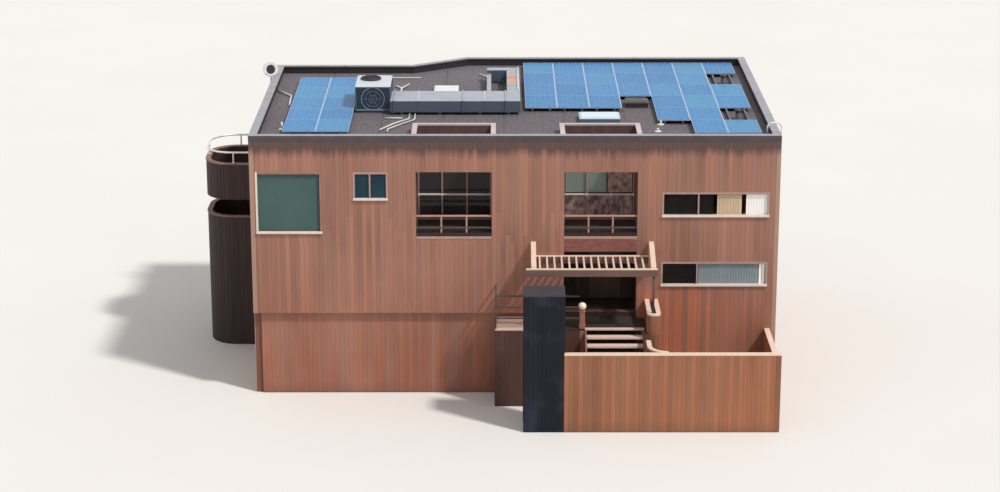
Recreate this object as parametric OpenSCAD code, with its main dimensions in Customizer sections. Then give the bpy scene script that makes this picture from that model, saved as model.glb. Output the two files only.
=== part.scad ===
// Flat-roofed cedar beach house on three levels: two light wells open to the sky, a hung
// pergola over a walled entry stair, and two rounded decks on the left side.
// The origin is under the ground-level front wall, at the middle of the front.
// +X runs right along the front, +Y runs to the back and +Z is up, in millimetres.

/* [House] */
// Width of the front, between the outer faces of the side walls
house_w = 16000; // [15800:50:16400]
// Depth of the left part, from the front face to the back face
left_depth = 10000; // [9800:50:10200]
// Depth of the right part, which reaches further back
right_depth = 11250; // [11000:50:11500]
// Distance from the middle of the front to the left end of the slanted back wall
step_start = 3420; // [3200:20:3600]
// Length of the slanted back wall, measured along the front
step_run = 1830; // [1700:10:1900]
// Thickness of every outside wall
wall_t = 200; // [180:5:220]
// How far the upper storeys stand out over the ground-level wall
overhang = 150; // [120:5:170]

/* [Floors and roof] */
// Height of the ground-level storey, from the ground to the top of the first floor
ground_storey_h = 2650; // [2620:10:2700]
// Height of the middle storey, from the first floor to the second floor
first_storey_h = 2550; // [2500:10:2600]
// Height of the top storey, from the second floor to the top of the roof deck
second_storey_h = 2800; // [2760:10:2860]
// Thickness of each floor and of the roof deck
floor_t = 250; // [220:10:280]
// Height of the parapet and its coping above the roof deck
parapet_h = 250; // [220:10:300]
// Thickness of the coping's top
coping_t = 50; // [40:5:60]
// Height of the coping's outer edge
coping_edge = 180; // [140:10:220]
// How far the coping stands out past the walls
coping_lip = 25; // [20:5:35]

/* [Front windows] */
// Left edge of the picture window, from the left corner of the house
picture_in = 150; // [140:10:200]
// Width of the picture window
picture_w = 2000; // [1900:20:2050]
// Head of the top storey's front openings above the second floor
head_h = 1920; // [1860:10:1980]
// Left edge of the sliding window, from the left corner of the house
slider_in = 3100; // [3000:20:3200]
// Width of the sliding window
slider_w = 1060; // [1000:20:1100]
// Height of the sliding window
slider_h = 870; // [800:10:950]
// Right edge of the two strip windows, from the right corner of the house
strip_in = 280; // [240:10:320]
// Distance from the entry's right side to the two strip windows
strip_gap = 740; // [700:10:840]
// Height of the two strip windows
strip_h = 770; // [700:10:820]
// Sill of the lower strip window above the first floor
low_sill_h = 870; // [800:10:950]
// Sill of the upper strip window above the second floor
high_sill_h = 520; // [450:10:580]

/* [Side and back windows] */
// Distance from the front face to the first window of the right side
side_in = 1500; // [1400:20:1600]
// Width of the right side's windows
side_w = 2800; // [2700:20:2900]
// Distance from the back face to the last window of the right side
side_back = 1850; // [1750:20:1950]
// Sill of the back windows above each floor
back_sill = 250; // [200:10:300]
// Distance from the back windows to the corners of the house
back_in = 800; // [760:10:900]
// Wall between two back windows
back_pier = 1000; // [900:20:1100]
// Width of the doors to the side decks
deck_door_w = 900; // [860:10:940]
// Height of the doors to the side decks
deck_door_h = 2050; // [2000:10:2100]

/* [Window frames] */
// Width of a window frame's face
frame_w = 60; // [50:5:70]
// Depth of a window frame
frame_d = 90; // [80:5:100]
// Width of the bars between two lights
bar_w = 45; // [40:5:55]
// How far the frames stand out of the wall
frame_out = 30; // [25:1:35]
// How far the sills stand out of the frames
sill_out = 50; // [40:5:60]
// Thickness of the glass
glass_t = 12; // [10:1:16]

/* [Light wells and entry] */
// Left edge of the left light well, left of the middle of the front
left_well_x = 3000; // [2900:20:3050]
// Width of the left light well
left_well_w = 2300; // [2250:10:2350]
// Left edge of the right light well and of the entry below it
entry_x = 1500; // [1450:10:1560]
// Width of the right light well and of the entry
entry_w = 2220; // [2180:10:2260]
// Depth of the light wells and the entry, from the front face to the back wall
well_depth = 1500; // [1440:10:1560]
// Thickness of the walls round the light wells and the entry
well_t = 100; // [90:5:120]
// Height of the entry opening above the first floor
entry_h = 1950; // [1900:10:2000]
// Width of the entry door's opening
door_w = 950; // [900:10:1000]
// Height of the wall above the entry door's opening
door_over = 250; // [200:10:300]
// Distance from the entry's left wall to the door's opening
door_in = 850; // [800:10:900]

/* [Pergola] */
// Top of the pergola above the first floor
pergola_up = 1850; // [1800:10:1900]
// How far the pergola stands out from the front face
pergola_out = 1460; // [1380:10:1540]
// Left end of the pergola
pergola_x = 330; // [280:10:400]
// Length of the pergola's front beam
pergola_w = 3940; // [3840:10:4000]
// Width of the pergola's beams
beam_w = 90; // [80:5:110]
// Height of the pergola's beams
beam_h = 240; // [220:10:260]
// Number of slats
slats = 15; // [13:1:17]
// Width of a slat
slat_w = 50; // [45:5:60]
// Height of a slat
slat_h = 120; // [100:10:140]
// Width of the pergola's raking ties
tie_w = 150; // [120:5:160]
// Distance from the front beam's left end to the left tie
left_tie_in = 160; // [120:10:200]
// Distance from the right tie to the front beam's right end
right_tie_in = 40; // [20:10:80]
// Distance from the last slat's place to the right tie
slats_short = 100; // [60:10:120]
// How far up the wall the pergola's raking ties reach, above the beams
tie_rise = 440; // [380:10:480]

/* [Entry stair] */
// Step down from the first floor to the entry landing
landing_step = 150; // [130:5:170]
// Left end of the entry landing, left of the middle of the front
landing_left = 600; // [500:20:700]
// Depth of the entry landing
landing_d = 1100; // [1060:10:1140]
// Thickness of the landings and the treads
tread_t = 60; // [50:5:70]
// Left edge of the upper flight
flight_x = 2120; // [2100:5:2140]
// Height of each step of the upper flight
rise = 190; // [186:1:194]
// Depth of each step of the upper flight
going = 260; // [255:1:262]
// Number of treads in the upper flight
upper_treads = 5; // [5:1:5]
// Number of treads in the lower flight
lower_treads = 6; // [6:1:6]
// Depth of each step of the lower flight
low_going = 275; // [265:1:280]
// Thickness of the stringers
stringer_t = 50; // [45:5:55]
// Width of the newel post
newel_w = 160; // [150:5:180]
// Height of the newel post above the landing
newel_up = 580; // [550:10:620]
// Radius of the lamp globe on the newel post
globe_r = 125; // [110:5:135]
// Height of the landing's rail above the landing
rail_h = 1050; // [1000:10:1100]
// Width of the landing rail's members
rail_w = 45; // [40:5:50]

/* [Court] */
// How far the court's front wall stands out from the front face
court_out = 3300; // [3280:5:3340]
// Distance from the court's right end to the right corner of the house
court_right_in = 180; // [160:10:240]
// How far the court's right return lies below its front wall
return_down = 310; // [260:10:340]
// Top of the court walls' caps
court_z = 2460; // [2440:5:2480]
// Thickness of the court walls
court_t = 120; // [110:5:130]
// Thickness of the caps on the court walls
cap_t = 50; // [40:5:60]
// How far the caps stand out past the court walls
cap_lip = 20; // [15:5:30]
// Left face of the curved wall beside the stair
curve_x = 3920; // [3900:5:3960]
// Radius of the curved wall's left face
curve_r = 600; // [560:10:660]
// Distance from the curved wall's left face to the hollow pier beside the entry landing
pier_in = 80; // [60:5:100]
// Width of the hollow pier
pier_w = 370; // [340:10:400]
// Thickness of the hollow pier's walls
pier_t = 100; // [90:5:110]
// Length of the hollow pier, from the house to its front
pier_l = 1550; // [1450:10:1650]
// Top of the hollow pier's cap
pier_z = 3100; // [3040:10:3160]
// Radius of the hollow pier's front corners
pier_r = 150; // [140:5:170]
// How far the hollow pier's floor lies below its top
pier_depth = 350; // [300:10:400]
// Left end of the dark screen
screen_x = 250; // [220:5:280]
// Width of the dark screen
screen_w = 1190; // [1170:5:1200]
// Depth of the dark screen
screen_d = 900; // [890:5:910]
// Top of the dark screen's lid
screen_z = 4280; // [4240:10:4320]
// Thickness of the dark screen's boards
screen_t = 50; // [45:5:60]
// Height of the doorway in the dark screen's left end
screen_door_h = 2100; // [2050:10:2150]

/* [Side decks] */
// Distance from the front face to the near side of the decks
deck_in = 4750; // [4650:10:4850]
// Length of the decks along the side of the house
deck_l = 2500; // [2400:20:2600]
// How far the decks stand out from the side of the house
deck_out = 2000; // [1900:20:2100]
// Radius of the decks' outer corners
deck_r = 900; // [800:10:1000]
// Thickness of the decks' curved walls
deck_wall_t = 100; // [90:5:110]
// How far the upper deck's wall reaches below the second floor
deck_below = 260; // [240:10:280]
// How far the upper deck's wall reaches above the second floor
deck_above = 940; // [900:10:1000]
// Height of the pipe rail's centre above the second floor
deck_rail_h = 1300; // [1260:10:1360]
// Top of the lower deck's wall above the first floor
lower_deck_h = 1740; // [1690:10:1790]
// Radius of the pipe rail
pipe_r = 30; // [25:1:35]
// Thickness of the caps on the decks' walls
deck_cap_t = 35; // [30:1:40]
// How far the caps stand out past the decks' walls
deck_cap_lip = 35; // [30:1:40]

/* [Solar panels] */
// Width of one solar panel
panel_w = 1005; // [990:5:1010]
// Length of a panel of the right group
panel_l = 1650; // [1640:5:1655]
// Length of a panel of the left group
left_panel_l = 1480; // [1450:10:1500]
// Gap between two panels
panel_gap = 20; // [15:1:25]
// Height of the panels' underside above the roof deck
panel_up = 110; // [90:5:130]
// Thickness of a panel
panel_t = 40; // [35:1:50]
// Left edge of the left group of panels, from the left corner of the house
left_panels_in = 900; // [860:10:920]
// Distance from the front face to the front of the left group
left_panels_y = 1000; // [950:10:1050]
// Clear roof kept behind the left group
left_panels_back = 200; // [150:10:250]
// Left edge of the right group of panels, right of the middle of the front
right_panels_x = 360; // [330:10:380]
// Distance from the inside of the back parapet to the right group
right_panels_in = 250; // [240:10:270]
// Clear roof kept in front of the right group
right_panels_front = 300; // [250:10:310]
// Clear roof kept at the right of the right group
right_panels_side = 150; // [120:10:160]

/* [Air unit and duct] */
// Left edge of the air unit, from the left corner of the house
unit_in = 2970; // [2950:10:3000]
// Distance from the front face to the air unit
unit_y = 4000; // [3950:10:4050]
// Width of the air unit
unit_w = 1120; // [1080:10:1160]
// Depth of the air unit
unit_d = 1700; // [1640:20:1760]
// Height of the air unit
unit_h = 900; // [860:10:940]
// Radius of the fan opening in the air unit's top
fan_r = 300; // [270:10:330]
// Distance from the front face to the duct
duct_y = 3700; // [3650:10:3750]
// Right end of the duct, right of the middle of the front
duct_end = 200; // [160:10:240]
// Width of the main duct
duct_d = 1450; // [1400:10:1500]
// Height of the duct
duct_h = 360; // [330:10:400]
// Width of the duct's branch
branch_w = 420; // [400:10:450]
// Distance from the back face to the end of the duct's branch
branch_back = 2600; // [2550:10:2650]
// Length of the cross duct at the end of the branch
cross_l = 650; // [600:10:700]
// Width of the return duct
return_w = 140; // [120:10:160]
// How far the return duct's top lies below the main duct's
return_low = 120; // [100:10:150]
// Height of the sleepers under the duct
sleeper_h = 90; // [80:5:100]
// Length of a sleeper along the duct
sleeper_w = 90; // [80:5:100]
// How far the duct's standing joints stand out
joint_out = 25; // [20:1:30]
// Length of a standing joint along the duct
joint_w = 40; // [30:1:50]

/* [Roof fittings] */
// Width of the skylight box
skylight_w = 1280; // [1230:10:1320]
// Depth of the skylight box
skylight_d = 900; // [850:10:950]
// Height of the skylight box
skylight_h = 180; // [160:5:200]
// Distance from the right light well's left side to the skylight box
skylight_x = 520; // [470:10:570]
// Distance from the back of the right light well to the skylight box
skylight_in = 950; // [900:10:1000]
// Width of the vent curb
curb_w = 740; // [700:10:780]
// Depth of the vent curb
curb_d = 700; // [660:10:740]
// Height of the vent curb
curb_h = 200; // [180:5:220]
// Distance from the vent curb to the panels behind it
curb_gap = 460; // [420:10:500]
// Width of the small box behind the duct
box_w = 800; // [760:10:840]
// Depth of the small box
box_d = 800; // [760:10:840]
// Height of the small box
box_h = 150; // [130:5:170]
// Distance from the small box to the duct's branch
box_side = 1580; // [1540:10:1620]
// Distance from the main duct to the small box
box_in = 1400; // [1350:10:1450]
// Radius of the vents
vent_r = 90; // [80:5:100]
// Height of the vents
vent_h = 350; // [320:10:380]

/* [Hidden] */
$fn = 48;

// Outer face of the front: the ground-level wall's middle line is at Y = 0.
face_y = -(overhang + wall_t / 2);
half_w = house_w / 2;
first_floor_z = ground_storey_h;
second_floor_z = first_floor_z + first_storey_h;
roof_z = second_floor_z + second_storey_h;
house_h = roof_z + parapet_h;
wall_top = house_h - coping_t;
head_z = second_floor_z + head_h;
// How far the slanted wall's corners move sideways for each unit of inset
slant_k = tan(atan2(right_depth - left_depth, step_run) / 2);
step_end = step_start - step_run;
entry_end = entry_x + entry_w;
well_end = -left_well_x + left_well_w;
strip_end = half_w - strip_in;
strip_w = strip_end - entry_end - strip_gap;
low_strip_z = first_floor_z + low_sill_h;
high_strip_z = second_floor_z + high_sill_h;
wells = [[-left_well_x, well_end], [entry_x, entry_end]];

cedar = [0.62, 0.40, 0.33];
pale = [0.87, 0.80, 0.73];
white = [0.92, 0.92, 0.90];
metal = [0.72, 0.71, 0.75];
glass = [0.30, 0.42, 0.44, 0.5];
dark_wood = [0.13, 0.14, 0.19];
roof_grey = [0.38, 0.34, 0.35];
panel_blue = [0.33, 0.48, 0.68];

// A box between two limits along X, two depths behind the front face and two heights.
module block(x, d, z) {
    translate([x[0], face_y + d[0], z[0]])
        cube([x[1] - x[0], d[1] - d[0], z[1] - z[0]]);
}

// The plan of the house, moved inwards by an inset.
module plan(inset) {
    polygon([
        [-half_w + inset, face_y + inset],
        [half_w - inset, face_y + inset],
        [half_w - inset, face_y + right_depth - inset],
        [-step_end + slant_k * inset, face_y + right_depth - inset],
        [-step_start + slant_k * inset, face_y + left_depth - inset],
        [-half_w + inset, face_y + left_depth - inset]
    ]);
}

// Horizontal bands of a wall along +X. Each row is [sill, head, [[start, end], ...]].
module bands(span, z, rows) {
    for (i = [0:len(rows)]) {
        low = i == 0 ? z[0] : rows[i - 1][1];
        high = i == len(rows) ? z[1] : rows[i][0];
        translate([span[0], 0, low])
            cube([span[1] - span[0], wall_t, high - low]);
    }
}

// The wall's piers beside and between the openings of each row.
module piers(span, rows) {
    for (row = rows)
        for (i = [0:len(row[2])]) {
            from = i == 0 ? span[0] : row[2][i - 1][1];
            to = i == len(row[2]) ? span[1] : row[2][i][0];
            translate([from, 0, row[0]])
                cube([to - from, wall_t, row[1] - row[0]]);
        }
}

// Places a wall drawn along +X on one side of the house.
module on_front() translate([0, face_y, 0]) children();
module on_back_left() translate([0, face_y + left_depth - wall_t, 0]) children();
module on_back_right() translate([0, face_y + right_depth - wall_t, 0]) children();
module on_left() translate([-half_w + wall_t, face_y, 0]) rotate([0, 0, 90]) children();
module on_right() translate([half_w, face_y, 0]) rotate([0, 0, 90]) children();

// Openings of each side, row by row from the ground up.
front_left_span = [-half_w, entry_x];
front_left_rows = [[second_floor_z, head_z, [
    [-half_w + picture_in, -half_w + picture_in + picture_w],
    [-half_w + slider_in, -half_w + slider_in + slider_w],
    [-left_well_x, well_end]
]]];
front_right_span = [entry_end, half_w];
front_right_rows = [
    [low_strip_z, low_strip_z + strip_h, [[strip_end - strip_w, strip_end]]],
    [high_strip_z, high_strip_z + strip_h, [[strip_end - strip_w, strip_end]]]
];
deck_mid = deck_in + deck_l / 2;
left_span = [wall_t, left_depth - wall_t];
deck_door = [[deck_mid - deck_door_w / 2, deck_mid + deck_door_w / 2]];
left_rows = [
    [first_floor_z, first_floor_z + deck_door_h, deck_door],
    [second_floor_z, second_floor_z + deck_door_h, deck_door]
];
right_span = [wall_t, right_depth - wall_t];
side_strips = [[side_in, side_in + side_w],
    [right_depth - side_back - side_w, right_depth - side_back]];
right_rows = [
    [low_strip_z, low_strip_z + strip_h, side_strips],
    [high_strip_z, high_strip_z + strip_h, side_strips]
];
// The back windows' heads are level with the front's.
back_window_h = head_h - back_sill;
back_left_span = [-half_w, -step_start];
back_right_span = [-step_end + slant_k * wall_t, half_w];
function back_rows(lights) = [for (floor_z = [first_floor_z, second_floor_z])
    [floor_z + back_sill, floor_z + back_sill + back_window_h, lights]];
back_left_rows = back_rows([[-half_w + back_in, -step_start - back_in]]);
back_right_w = (half_w + step_end - 2 * back_in - back_pier) / 2;
back_right_rows = back_rows([
    [back_in - step_end, back_in - step_end + back_right_w],
    [half_w - back_in - back_right_w, half_w - back_in]
]);

module ground_wall_front() color(cedar) {
    block([-half_w + wall_t, entry_end], [overhang, overhang + wall_t], [0, first_floor_z]);
}

module front_wall_bands() color(cedar) on_front() {
    bands(front_left_span, [first_floor_z, wall_top], front_left_rows);
    bands(front_right_span, [0, wall_top], front_right_rows);
}

module front_wall_piers() color(cedar) on_front() {
    piers(front_left_span, front_left_rows);
    piers(front_right_span, front_right_rows);
    // The wall below the sliding window
    translate([-half_w + slider_in, 0, second_floor_z])
        cube([slider_w, wall_t, head_z - slider_h - second_floor_z]);
}

module front_wall_over_entry() color(cedar) {
    block([entry_x, entry_end], [0, wall_t], [first_floor_z + entry_h, second_floor_z]);
    block([entry_x, entry_end], [0, wall_t], [head_z, wall_top]);
}

module left_wall_bands() color(cedar) on_left() bands(left_span, [0, wall_top], left_rows);
module left_wall_piers() color(cedar) on_left() piers(left_span, left_rows);
module right_wall_bands() color(cedar) on_right() bands(right_span, [0, wall_top], right_rows);
module right_wall_piers() color(cedar) on_right() piers(right_span, right_rows);

module back_wall_bands() color(cedar) {
    on_back_left() bands(back_left_span, [0, wall_top], back_left_rows);
    on_back_right() bands(back_right_span, [0, wall_top], back_right_rows);
}

module back_wall_piers() color(cedar) {
    on_back_left() piers(back_left_span, back_left_rows);
    on_back_right() piers(back_right_span, back_right_rows);
}

module back_wall_slanted() color(cedar) linear_extrude(wall_top) polygon([
    [-step_start, face_y + left_depth],
    [-step_end, face_y + right_depth],
    [-step_end + slant_k * wall_t, face_y + right_depth],
    [-step_end + slant_k * wall_t, face_y + right_depth - wall_t],
    [-step_start + slant_k * wall_t, face_y + left_depth - wall_t],
    [-step_start, face_y + left_depth - wall_t]
]);

// A floor inside the walls, seated against them.
module floor_slab(top) translate([0, 0, top - floor_t]) linear_extrude(floor_t) plan(wall_t);

module first_floor() color(roof_grey) difference() {
    floor_slab(first_floor_z);
    block([-half_w, entry_end], [0, overhang + wall_t], [0, house_h]);
}

module second_floor() color(roof_grey) floor_slab(second_floor_z);

module roof_deck() color(roof_grey) difference() {
    floor_slab(roof_z);
    for (well = wells)
        block([well[0] - well_t, well[1] + well_t], [0, well_depth + well_t],
            [roof_z - floor_t - 1, roof_z + 1]);
}

module roof_coping() color(metal) {
    translate([0, 0, wall_top]) linear_extrude(coping_t) difference() {
        plan(-coping_lip);
        plan(wall_t + coping_lip);
    }
    translate([0, 0, house_h - coping_edge]) linear_extrude(coping_edge) difference() {
        plan(-coping_lip);
        plan(0);
    }
    // Caps on the walls round each light well, joined to the front coping
    for (well = wells)
        difference() {
            block([well[0] - well_t - coping_lip, well[1] + well_t + coping_lip],
                [wall_t, well_depth + well_t + coping_lip], [wall_top, house_h]);
            block([well[0] + coping_lip, well[1] - coping_lip],
                [0, well_depth - coping_lip], [wall_top - 1, house_h + 1]);
        }
}

module light_well_walls() color(cedar)
    for (well = wells)
        for (x = [well[0] - well_t, well[1]])
            block([x, x + well_t], [wall_t, well_depth + well_t], [second_floor_z, wall_top]);

module light_well_headers() color(cedar)
    for (well = wells)
        block(well, [well_depth, well_depth + well_t], [head_z, wall_top]);

// A window frame drawn along +X with its outer face at Y = 0. Bars stand at the given
// shares of the width and of the height.
module frame(w, h, uprights = [], rails = [], sill = true) {
    difference() {
        cube([w, frame_d, h]);
        translate([frame_w, -1, frame_w])
            cube([w - 2 * frame_w, frame_d + 2, h - 2 * frame_w]);
    }
    for (share = uprights)
        translate([w * share - bar_w / 2, 0, frame_w / 2])
            cube([bar_w, frame_d / 2, h - frame_w]);
    for (share = rails)
        translate([frame_w / 2, 0, h * share - bar_w / 2])
            cube([w - frame_w, frame_d / 2, bar_w]);
    if (sill)
        translate([0, -sill_out, 0])
            cube([w, sill_out + 1, frame_w]);
}

// The sheet of glass that lies behind a frame's bars.
module pane(w, h) {
    translate([frame_w, frame_d / 2, frame_w])
        cube([w - 2 * frame_w, glass_t, h - 2 * frame_w]);
}

module light_well_windows() color(white)
    for (well = wells)
        translate([well[0], face_y + well_depth, second_floor_z])
            frame(well[1] - well[0], head_h, [1 / 3, 2 / 3], [0.42], false);

// Every window of the outside walls: its place, its size and where its bars stand.
module each_window() {
    on_front() translate([0, -frame_out, 0]) {
        translate([-half_w + picture_in, 0, second_floor_z])
            children(0);
        translate([-half_w + slider_in, 0, head_z - slider_h])
            children(1);
        for (z = [low_strip_z, high_strip_z])
            translate([strip_end - strip_w, 0, z])
                children(2);
    }
    for (row = right_rows, light = row[2])
        translate([half_w + frame_out, face_y + light[0], row[0]])
            rotate([0, 0, 90])
                children(3);
    for (row = back_left_rows)
        translate([row[2][0][1], face_y + left_depth + frame_out, row[0]])
            rotate([0, 0, 180])
                children(4);
    for (row = back_right_rows, light = row[2])
        translate([light[1], face_y + right_depth + frame_out, row[0]])
            rotate([0, 0, 180])
                children(5);
}

back_left_w = back_left_rows[0][2][0][1] - back_left_rows[0][2][0][0];

module window_frames() color(white) each_window() {
    frame(picture_w, head_h);
    frame(slider_w, slider_h, [0.48]);
    frame(strip_w, strip_h, [0.34]);
    frame(side_w, strip_h, [0.5]);
    frame(back_left_w, back_window_h, [0.5]);
    frame(back_right_w, back_window_h, [1 / 3, 2 / 3]);
}

module window_glass() color(glass) {
    each_window() {
        pane(picture_w, head_h);
        pane(slider_w, slider_h);
        pane(strip_w, strip_h);
        pane(side_w, strip_h);
        pane(back_left_w, back_window_h);
        pane(back_right_w, back_window_h);
    }
    for (well = wells)
        translate([well[0], face_y + well_depth, second_floor_z])
            pane(well[1] - well[0], head_h);
}

entry_ceiling_z = second_floor_z - floor_t;
door_x = entry_x + door_in;
door_h = entry_ceiling_z - door_over - first_floor_z;

module entry_side_walls() color(cedar)
    for (x = [entry_x - well_t, entry_end])
        block([x, x + well_t], [wall_t, well_depth + well_t], [first_floor_z, entry_ceiling_z]);

module entry_back_wall() color(cedar) difference() {
    block([entry_x, entry_end], [well_depth, well_depth + well_t],
        [first_floor_z, entry_ceiling_z]);
    block([door_x, door_x + door_w], [well_depth - 1, well_depth + well_t + 1],
        [first_floor_z - 1, first_floor_z + door_h]);
}

module entry_door() {
    door_post = 50;
    leaf_t = 45;
    panel_in = 130;
    panel_sink = 12;
    // Frame
    color(white) difference() {
        block([door_x, door_x + door_w], [well_depth, well_depth + well_t],
            [first_floor_z, first_floor_z + door_h]);
        block([door_x + door_post, door_x + door_w - door_post],
            [well_depth - 1, well_depth + well_t + 1],
            [first_floor_z - 1, first_floor_z + door_h - door_post]);
    }
    // Leaf with two sunk panels and a round knob
    leaf_x = [door_x + door_post, door_x + door_w - door_post];
    leaf_mid = first_floor_z + 0.45 * door_h;
    color(cedar) difference() {
        block(leaf_x, [well_depth + 20, well_depth + 20 + leaf_t],
            [first_floor_z, first_floor_z + door_h - door_post]);
        for (z = [[first_floor_z + panel_in, leaf_mid - panel_in / 2],
                  [leaf_mid + panel_in / 2, first_floor_z + door_h - door_post - panel_in]])
            block([leaf_x[0] + panel_in, leaf_x[1] - panel_in],
                [well_depth, well_depth + 20 + panel_sink], z);
    }
    color(metal) translate([leaf_x[1] - 65, face_y + well_depth + 20, leaf_mid])
        rotate([90, 0, 0]) {
            cylinder(h = 35, r = 12);
            translate([0, 0, 30]) cylinder(h = 30, r = 30);
        }
}

// Two closed doors from the storeys to the side decks.
module deck_doors() {
    leaf_t = 60;
    panel_in = 140;
    color(white) on_left()
        for (row = left_rows)
            difference() {
                translate([row[2][0][0], wall_t - leaf_t, row[0]])
                    cube([deck_door_w, leaf_t, deck_door_h]);
                translate([row[2][0][0] + panel_in, wall_t - 20, row[0] + panel_in])
                    cube([deck_door_w - 2 * panel_in, leaf_t, deck_door_h - 2 * panel_in]);
            }
}

pergola_end = pergola_x + pergola_w;
pergola_z = first_floor_z + pergola_up;
pergola_low = pergola_z - beam_h;
ledger_x = pergola_x + left_tie_in + tie_w;
ledger_end = pergola_end - right_tie_in - tie_w;

// The front beam and the ledger on the wall
module pergola_beams() color(pale) {
    block([pergola_x, pergola_end], [-pergola_out, beam_w - pergola_out],
        [pergola_low, pergola_z]);
    block([ledger_x, ledger_end], [-beam_w, 0], [pergola_low, pergola_z]);
}

// Raking ties that hang the front beam from the wall, one near each end
module pergola_ties() color(pale)
    for (x = [ledger_x - tie_w, ledger_end])
        translate([x, face_y, 0]) rotate([90, 0, 90]) linear_extrude(tie_w) polygon([
            [0, pergola_low],
            [0, pergola_z + tie_rise],
            [-150, pergola_z + tie_rise],
            [beam_w - pergola_out, pergola_z + 60],
            [beam_w - pergola_out, pergola_low]
        ]);

// Slats between the front beam and the ledger
module pergola_slats() color(pale) {
    pitch = (ledger_end - slats_short - ledger_x) / slats;
    for (i = [0:slats - 1])
        translate([ledger_x + pitch * (i + 0.5) - slat_w / 2, face_y + beam_w - pergola_out,
            pergola_z - slat_h])
            cube([slat_w, pergola_out - 2 * beam_w, slat_h]);
}

court_in = court_out - court_t;
court_right = half_w - court_right_in;
landing_z = first_floor_z - landing_step;
low_landing_z = landing_z - (upper_treads + 1) * rise;
low_rise = low_landing_z / (lower_treads + 1);
flight_end = landing_d + upper_treads * going;
// The lower flight fits between the court's front wall and the back of the dark screen.
low_flight_d = [-court_in, -flight_end - screen_t];

// The entry landing and the small landing where the stair turns
module entry_landing() color(pale) {
    block([-landing_left, curve_x], [-landing_d, 0], [landing_z - tread_t, landing_z]);
    // Strip under the overhang, back to the ground-level wall
    block([-landing_left, entry_end], [-1, overhang], [landing_z - tread_t, landing_z]);
    block([flight_x, curve_x], [-court_in, -flight_end],
        [low_landing_z - tread_t, low_landing_z]);
}

skirt_t = 80;

// Boarded walls that carry the entry landing and the turning landing
module landing_skirt() color(cedar) {
    block([-landing_left, flight_x - newel_w], [-landing_d, skirt_t - landing_d],
        [0, landing_z - tread_t]);
    block([-landing_left, skirt_t - landing_left], [skirt_t - landing_d, overhang],
        [0, landing_z - tread_t]);
    block([curve_x - skirt_t, curve_x], [-landing_d, skirt_t - landing_d],
        [0, landing_z - tread_t]);
    for (x = [flight_x, curve_x - skirt_t])
        block([x, x + skirt_t], [-court_in, -court_in + skirt_t],
            [0, low_landing_z - tread_t]);
}

// Rail along the landing's front edge, from its left end to the newel post
module landing_rail() color(dark_wood) {
    rail_end = flight_x - newel_w;
    for (up = [rail_h, rail_h - 350, rail_h - 700])
        block([-landing_left, rail_end], [-landing_d, rail_w - landing_d],
            [landing_z + up - rail_w, landing_z + up]);
    for (x = [-landing_left, (rail_end - landing_left) / 2 - rail_w / 2])
        block([x, x + rail_w], [-landing_d, rail_w - landing_d],
            [landing_z, landing_z + rail_h]);
    // Return at the left end, back to the wall
    for (up = [rail_h, rail_h - 350, rail_h - 700])
        block([-landing_left, rail_w - landing_left], [-landing_d, 0],
            [landing_z + up - rail_w, landing_z + up]);
}

module stair_treads() color(pale) {
    for (i = [1:upper_treads])
        block([flight_x + stringer_t, curve_x - stringer_t],
            [-landing_d - i * going, -landing_d - (i - 1) * going - 15],
            [landing_z - i * rise - tread_t, landing_z - i * rise]);
    for (i = [1:lower_treads])
        block([flight_x - i * low_going, flight_x - (i - 1) * low_going - 15],
            [low_flight_d[0] + stringer_t, low_flight_d[1] - stringer_t],
            [low_landing_z - i * low_rise - tread_t, low_landing_z - i * low_rise]);
}

module stair_stringers() color(cedar) {
    board = 200;
    // Upper flight, from the entry landing to the turning landing
    for (x = [flight_x, curve_x - stringer_t])
        translate([x, face_y - landing_d, 0]) rotate([90, 0, 90])
            linear_extrude(stringer_t) mirror([1, 0]) polygon([
                [0, landing_z - tread_t],
                [0, landing_z - tread_t - rise - board],
                [upper_treads * going, low_landing_z - board + tread_t],
                [upper_treads * going, low_landing_z + rise],
                [0, landing_z - tread_t]
            ]);
    // Lower flight, from the turning landing to the ground
    for (d = [low_flight_d[0], low_flight_d[1] - stringer_t])
        translate([flight_x, face_y + d + stringer_t, 0]) rotate([90, 0, 0])
            linear_extrude(stringer_t) mirror([1, 0]) polygon([
                [0, low_landing_z - tread_t],
                [0, low_landing_z - tread_t - low_rise - board],
                [lower_treads * low_going - 250, 0],
                [lower_treads * low_going, 0],
                [lower_treads * low_going, low_rise],
                [0, low_landing_z - tread_t]
            ]);
}

// Newel post at the head of the stair, with a round lamp on its top
module newel_lamp() {
    post_top = landing_z + newel_up;
    color(cedar)
        block([flight_x - newel_w, flight_x], [-landing_d, newel_w - landing_d],
            [0, landing_z - tread_t]);
    color(cedar)
        block([flight_x - newel_w, flight_x], [-landing_d, newel_w - landing_d],
            [landing_z, post_top]);
    color(white)
        translate([flight_x - newel_w / 2, face_y - landing_d + newel_w / 2,
            post_top + globe_r - 10])
            sphere(r = globe_r);
}

// Front wall and lower right return of the court, with their caps
module court_walls() {
    wall_x = screen_x + screen_w;
    return_z = court_z - return_down;
    color(cedar) {
        block([wall_x, court_right], [-court_out, -court_in], [0, court_z - cap_t]);
        block([court_right - court_t, court_right], [-court_in, 0], [0, return_z - cap_t]);
    }
    color(pale) {
        block([wall_x, court_right + cap_lip], [-court_out - cap_lip, -court_in + cap_lip],
            [court_z - cap_t, court_z]);
        block([court_right - court_t - cap_lip, court_right + cap_lip],
            [-court_in, 0], [return_z - cap_t, return_z]);
    }
}

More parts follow.
